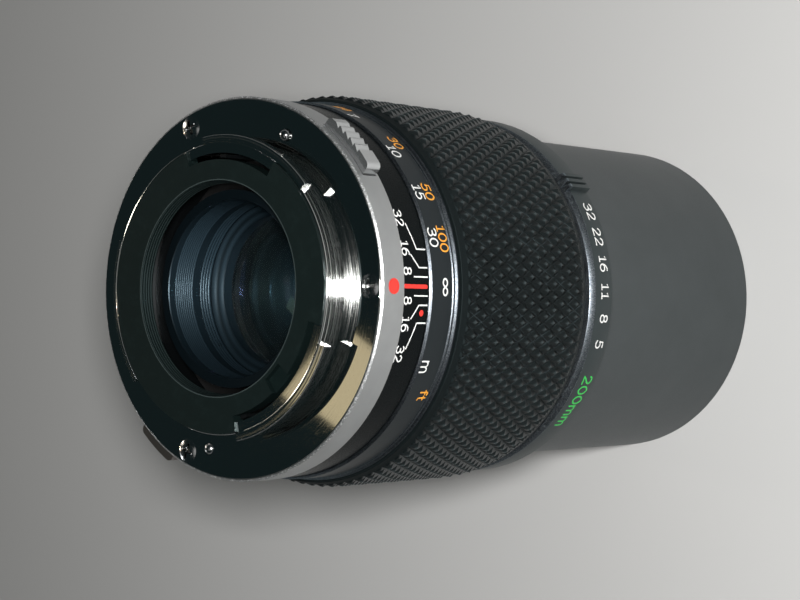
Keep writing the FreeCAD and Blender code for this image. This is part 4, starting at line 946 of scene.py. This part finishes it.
# %% Paths of the figures
# Each stroke is its kind and the points it passes, in hundredths of the figure's height
FIGURES = {
    "0": ["loop 31,100 6,80 0,50 6,20 31,0 56,20 62,50 56,80"],
    "1": ["bend 12,80 33,100 33,0", "bend 12,0 54,0"],
    "2": ["curve 3,76 12,94 32,100 53,90 58,70 46,48 22,26 2,0", "bend 2,0 62,0"],
    "3": ["curve 3,86 16,97 36,99 54,88 54,68 40,56 22,54",
          "curve 22,54 46,50 60,34 57,12 38,1 17,1 0,14"],
    ".": ["bend 6,2 7,2"],
    "4": ["bend 46,0 46,100 0,28 62,28"],
    "5": ["bend 56,100 13,100 8,52", "curve 8,52 28,62 48,56 60,36 55,13 37,1 16,2 0,14"],
    "6": ["curve 52,96 32,94 12,74 2,44 4,20 17,3 38,0 56,14 60,34 50,54 30,60 12,52 3,38"],
    "7": ["bend 2,100 60,100 20,0"],
    "8": ["loop 31,100 12,94 6,77 14,60 31,54 48,60 56,77 50,94",
          "loop 31,54 9,46 1,27 10,7 31,0 52,7 61,27 53,46"],
    "m": ["bend 0,0 0,70", "curve 0,46 10,64 24,70 37,62 41,46 41,0",
          "curve 41,46 51,64 65,70 78,62 82,46 82,0"],
    "f": ["curve 44,98 30,100 19,90 17,72 17,0", "bend 0,66 38,66"],
    "t": ["curve 17,96 17,22 22,5 36,0", "bend 0,66 36,66"],
    "infinity": ["loop 75,50 56,27 34,22 12,32 4,50 12,68 34,78 56,73 75,50 94,27 116,22 138,32"
                 " 146,50 138,68 116,78 94,73"],
}
ADVANCE = {"1": 0.74, ".": 0.34, "m": 1.08, "f": 0.56, "t": 0.56, "infinity": 1.5}


def strokes(figure):
    """Kind and points of each stroke, for a figure one unit tall."""
    for kind, *points in map(str.split, FIGURES[figure]):
        yield kind, np.array([point.split(",") for point in points], float) / 100


print("figures:", " ".join(FIGURES))


# %% Stroke: a low rounded bar along a path
def spline(points, closed):
    """Catmull-Rom spline: passes through each point, heading parallel to its two neighbours."""
    steps = 6
    if closed:
        ringed = np.concatenate([points[-1:], points, points[:2]])
    else:
        before, after = 2 * points[:1] - points[1:2], 2 * points[-1:] - points[-2:-1]
        ringed = np.concatenate([before, points, after])
    a, b, c, d = ringed[:-3, None], ringed[1:-2, None], ringed[2:-1, None], ringed[3:, None]
    t = (np.arange(steps) / steps)[None, :, None]
    bow, twist = 2 * a - 5 * b + 4 * c - d, 3 * b - a - 3 * c + d
    curve = (0.5 * (2 * b + (c - a) * t + bow * t**2 + twist * t**3)).reshape(-1, 2)
    return curve if closed else np.concatenate([curve, points[-1:]])


def bar(path, width, closed):
    """Rounded bar along a path in the plane: grid of (along, across, up) and its quads.

    Across the path the section is a flat-bottomed arch; at an open end the width shrinks as the
    cosine while the end runs on by the sine, which rounds it off."""
    half = width / 2
    if closed:
        ahead, behind = np.roll(path, -1, 0), np.roll(path, 1, 0)
    else:
        ahead, behind = np.vstack([path[1:], path[-1:]]), np.vstack([path[:1], path[:-1]])
    heading = ahead - behind
    heading = heading / np.linalg.norm(heading, axis=1)[:, None]
    spread = np.full(len(path), half)
    if not closed:
        bow = np.radians([90.0, 60.0, 30.0])
        start = path[0] - heading[0] * (half * np.sin(bow))[:, None]
        end = path[-1] + heading[-1] * (half * np.sin(bow[::-1]))[:, None]
        path = np.vstack([start, path, end])
        tips = np.maximum(half * np.cos(bow), 1e-4)
        spread = np.concatenate([tips, spread, tips[::-1]])
        heading = np.vstack([heading[:1]] * 3 + [heading] + [heading[-1:]] * 3)
    side = np.stack([-heading[:, 1], heading[:, 0]], 1)
    across = np.array([1.0, 1.0, 0.62, -0.62, -1.0, -1.0])
    up = np.array([-0.03, 0.008, 0.020, 0.020, 0.008, -0.03])
    flat = path[:, None] + side[:, None] * (spread[:, None] * across)[..., None]
    grid = np.concatenate([flat, np.broadcast_to(up[None, :, None], flat.shape[:2] + (1,))], -1)
    rows, columns = grid.shape[:2]
    faces = ring_faces(rows, columns, close_rows=closed)
    if not closed:
        caps = np.array([[0, 1, 2, 5], [5, 2, 3, 4]])
        faces = np.concatenate([faces, caps[:, ::-1], caps + (rows - 1) * columns])
    return grid.reshape(-1, 3), faces


print("strokes are ready to lay")


# %% Writing on a ring
class Scale:
    """Strokes gathered on one ring in one paint.

    The plane of the figures is wrapped on the ring: x runs towards falling azimuth, y towards the
    front of the lens, so the figures read upright with the mount at the bottom."""

    def __init__(self, radius):
        self.radius = radius
        self.points, self.faces, self.count = [], [], 0

    def lay(self, path, width, closed, azimuth, height):
        flat, faces = bar(path, width, closed)
        angle = np.radians(azimuth) - flat[:, 0] / self.radius
        self.points.append(around_axis(self.radius + flat[:, 2], angle, height - flat[:, 1]))
        self.faces.append(faces + self.count)
        self.count += len(flat)

    def write(self, figures, azimuth, height, tall, width):
        """Row of figures centred at an azimuth, standing on a height."""
        ahead = [ADVANCE.get(f, 0.86) * tall for f in figures]
        last_wide = max(points[:, 0].max() for _, points in strokes(figures[-1])) * tall
        start = -(sum(ahead) - (ahead[-1] - last_wide)) / 2
        for figure, step in zip(figures, ahead):
            for kind, points in strokes(figure):
                path = points * tall
                if kind != "bend":
                    path = spline(path, kind == "loop")
                self.lay(path + [start, 0.0], width, kind == "loop", azimuth, height)
            start += step

    def row(self, marks, height, tall, width):
        for figures, azimuth in marks:
            self.write(figures, azimuth, height, tall, width)

    def line(self, places, width):
        """Line through (azimuth, height) places, in steps short enough to bend round the ring."""
        places = np.array(places, float)
        x = np.radians(places[0, 0] - places[:, 0]) * self.radius
        y = places[0, 1] - places[:, 1]
        along = np.concatenate([[0.0], np.cumsum(np.hypot(np.diff(x), np.diff(y)))])
        every = np.union1d(along, np.arange(0.0, along[-1], 0.3))
        path = np.stack([np.interp(every, along, x), np.interp(every, along, y)], 1)
        self.lay(path, width, False, places[0, 0], places[0, 1])

    def piece(self, name, paint, body, slot):
        points, faces = np.concatenate(self.points), np.concatenate(self.faces)
        fit(make_piece(name, points, faces, [paint], crease=50), body, slot)


print("a scale is ready to write")

# %% [markdown]
# ### Depth of field scale
#
# A red line marks the setting. The pairs 8, 16 and 32 either side of it show how far sharpness
# reaches; where the figures are wider apart than their lines, a kinked line leads to each. The
# small red dot beside them is where to set focus for infra-red light.

# %% Depth of field marks
# Each row: figures and azimuths, the height they stand on, how tall they are, the tool's width
depth_white = Scale(DEPTH_RADIUS)
depth_white.row((("8", -4.0), ("8", 4.5), ("16", -10.7), ("16", 11.3), ("32", -19.8), ("32", 20.3)),
                -5.25, 1.62, 0.24)
line_end = -10.60
for azimuth in (-2.6, 2.9):
    depth_white.line([(azimuth, -7.55), (azimuth, line_end)], 0.22)
for azimuth, kink, far, top in ((-5.3, -8.70, -9.2, -7.15), (5.6, -8.70, 9.3, -7.15),
                                (-10.5, -8.60, -18.1, -7.25), (11.0, -8.60, 18.6, -7.25)):
    depth_white.line([(azimuth, line_end), (azimuth, kink), (far, top)], 0.22)
depth_white.piece("depth_marks_white", white_enamel, "barrel", "satin_silver")

depth_red = Scale(DEPTH_RADIUS)
depth_red.line([(0.1, -5.4), (0.1, -10.3)], 0.62)
depth_red.line([(-7.62, -9.40), (-7.58, -9.40)], 0.95)
depth_red.piece("depth_marks_red", red_enamel, "barrel", "red_enamel")

# %% [markdown]
# ### Distance and aperture scales
#
# Metres are white and feet are orange, on two rows, so that the eye keeps to one. The apertures
# are one row of white figures, a stop apart, and the focal length is beside them in green.

# %% Distance marks in metres and feet
metres = Scale(FOCUS_RADIUS)
metres.write(["infinity"], 0.2, -13.35, 1.72, 0.28)
metres.row((("30", 14.6), ("15", 29.1), ("10", 44.5), ("7", 64.4), ("5", 89.0), ("4", 111.0),
            ("3", 148.0), ("2.5", 178.0)), -11.55, 1.85, 0.25)
metres.write("m", -23.5, -11.45, 2.1, 0.25)
metres.piece("distance_marks_metres", white_enamel, "focus_ring", "satin_silver")

feet = Scale(FOCUS_RADIUS)
feet.row((("100", 14.5), ("50", 29.3), ("30", 48.7), ("20", 72.5), ("15", 97.3), ("12", 121.6),
          ("10", 146.0), ("8.5", 172.0)), -13.83, 1.82, 0.25)
feet.write("ft", -33.0, -13.90, 1.75, 0.26)
feet.piece("distance_marks_feet", orange_enamel, "focus_ring", "red_enamel")

# %% Aperture marks
apertures = Scale(APERTURE_RADIUS)
apertures.row((("5", -16.3), ("8", -8.2), ("11", 0.4), ("16", 9.0), ("22", 17.5), ("32", 26.0)),
              -54.0, 1.95, 0.26)
apertures.piece("aperture_marks_white", white_enamel, "aperture_ring", "satin_silver")

focal_length = Scale(APERTURE_RADIUS)
focal_length.write("200mm", -36.6, -53.95, 2.25, 0.30)
focal_length.piece("focal_length_green", green_enamel, "aperture_ring", "satin_silver")
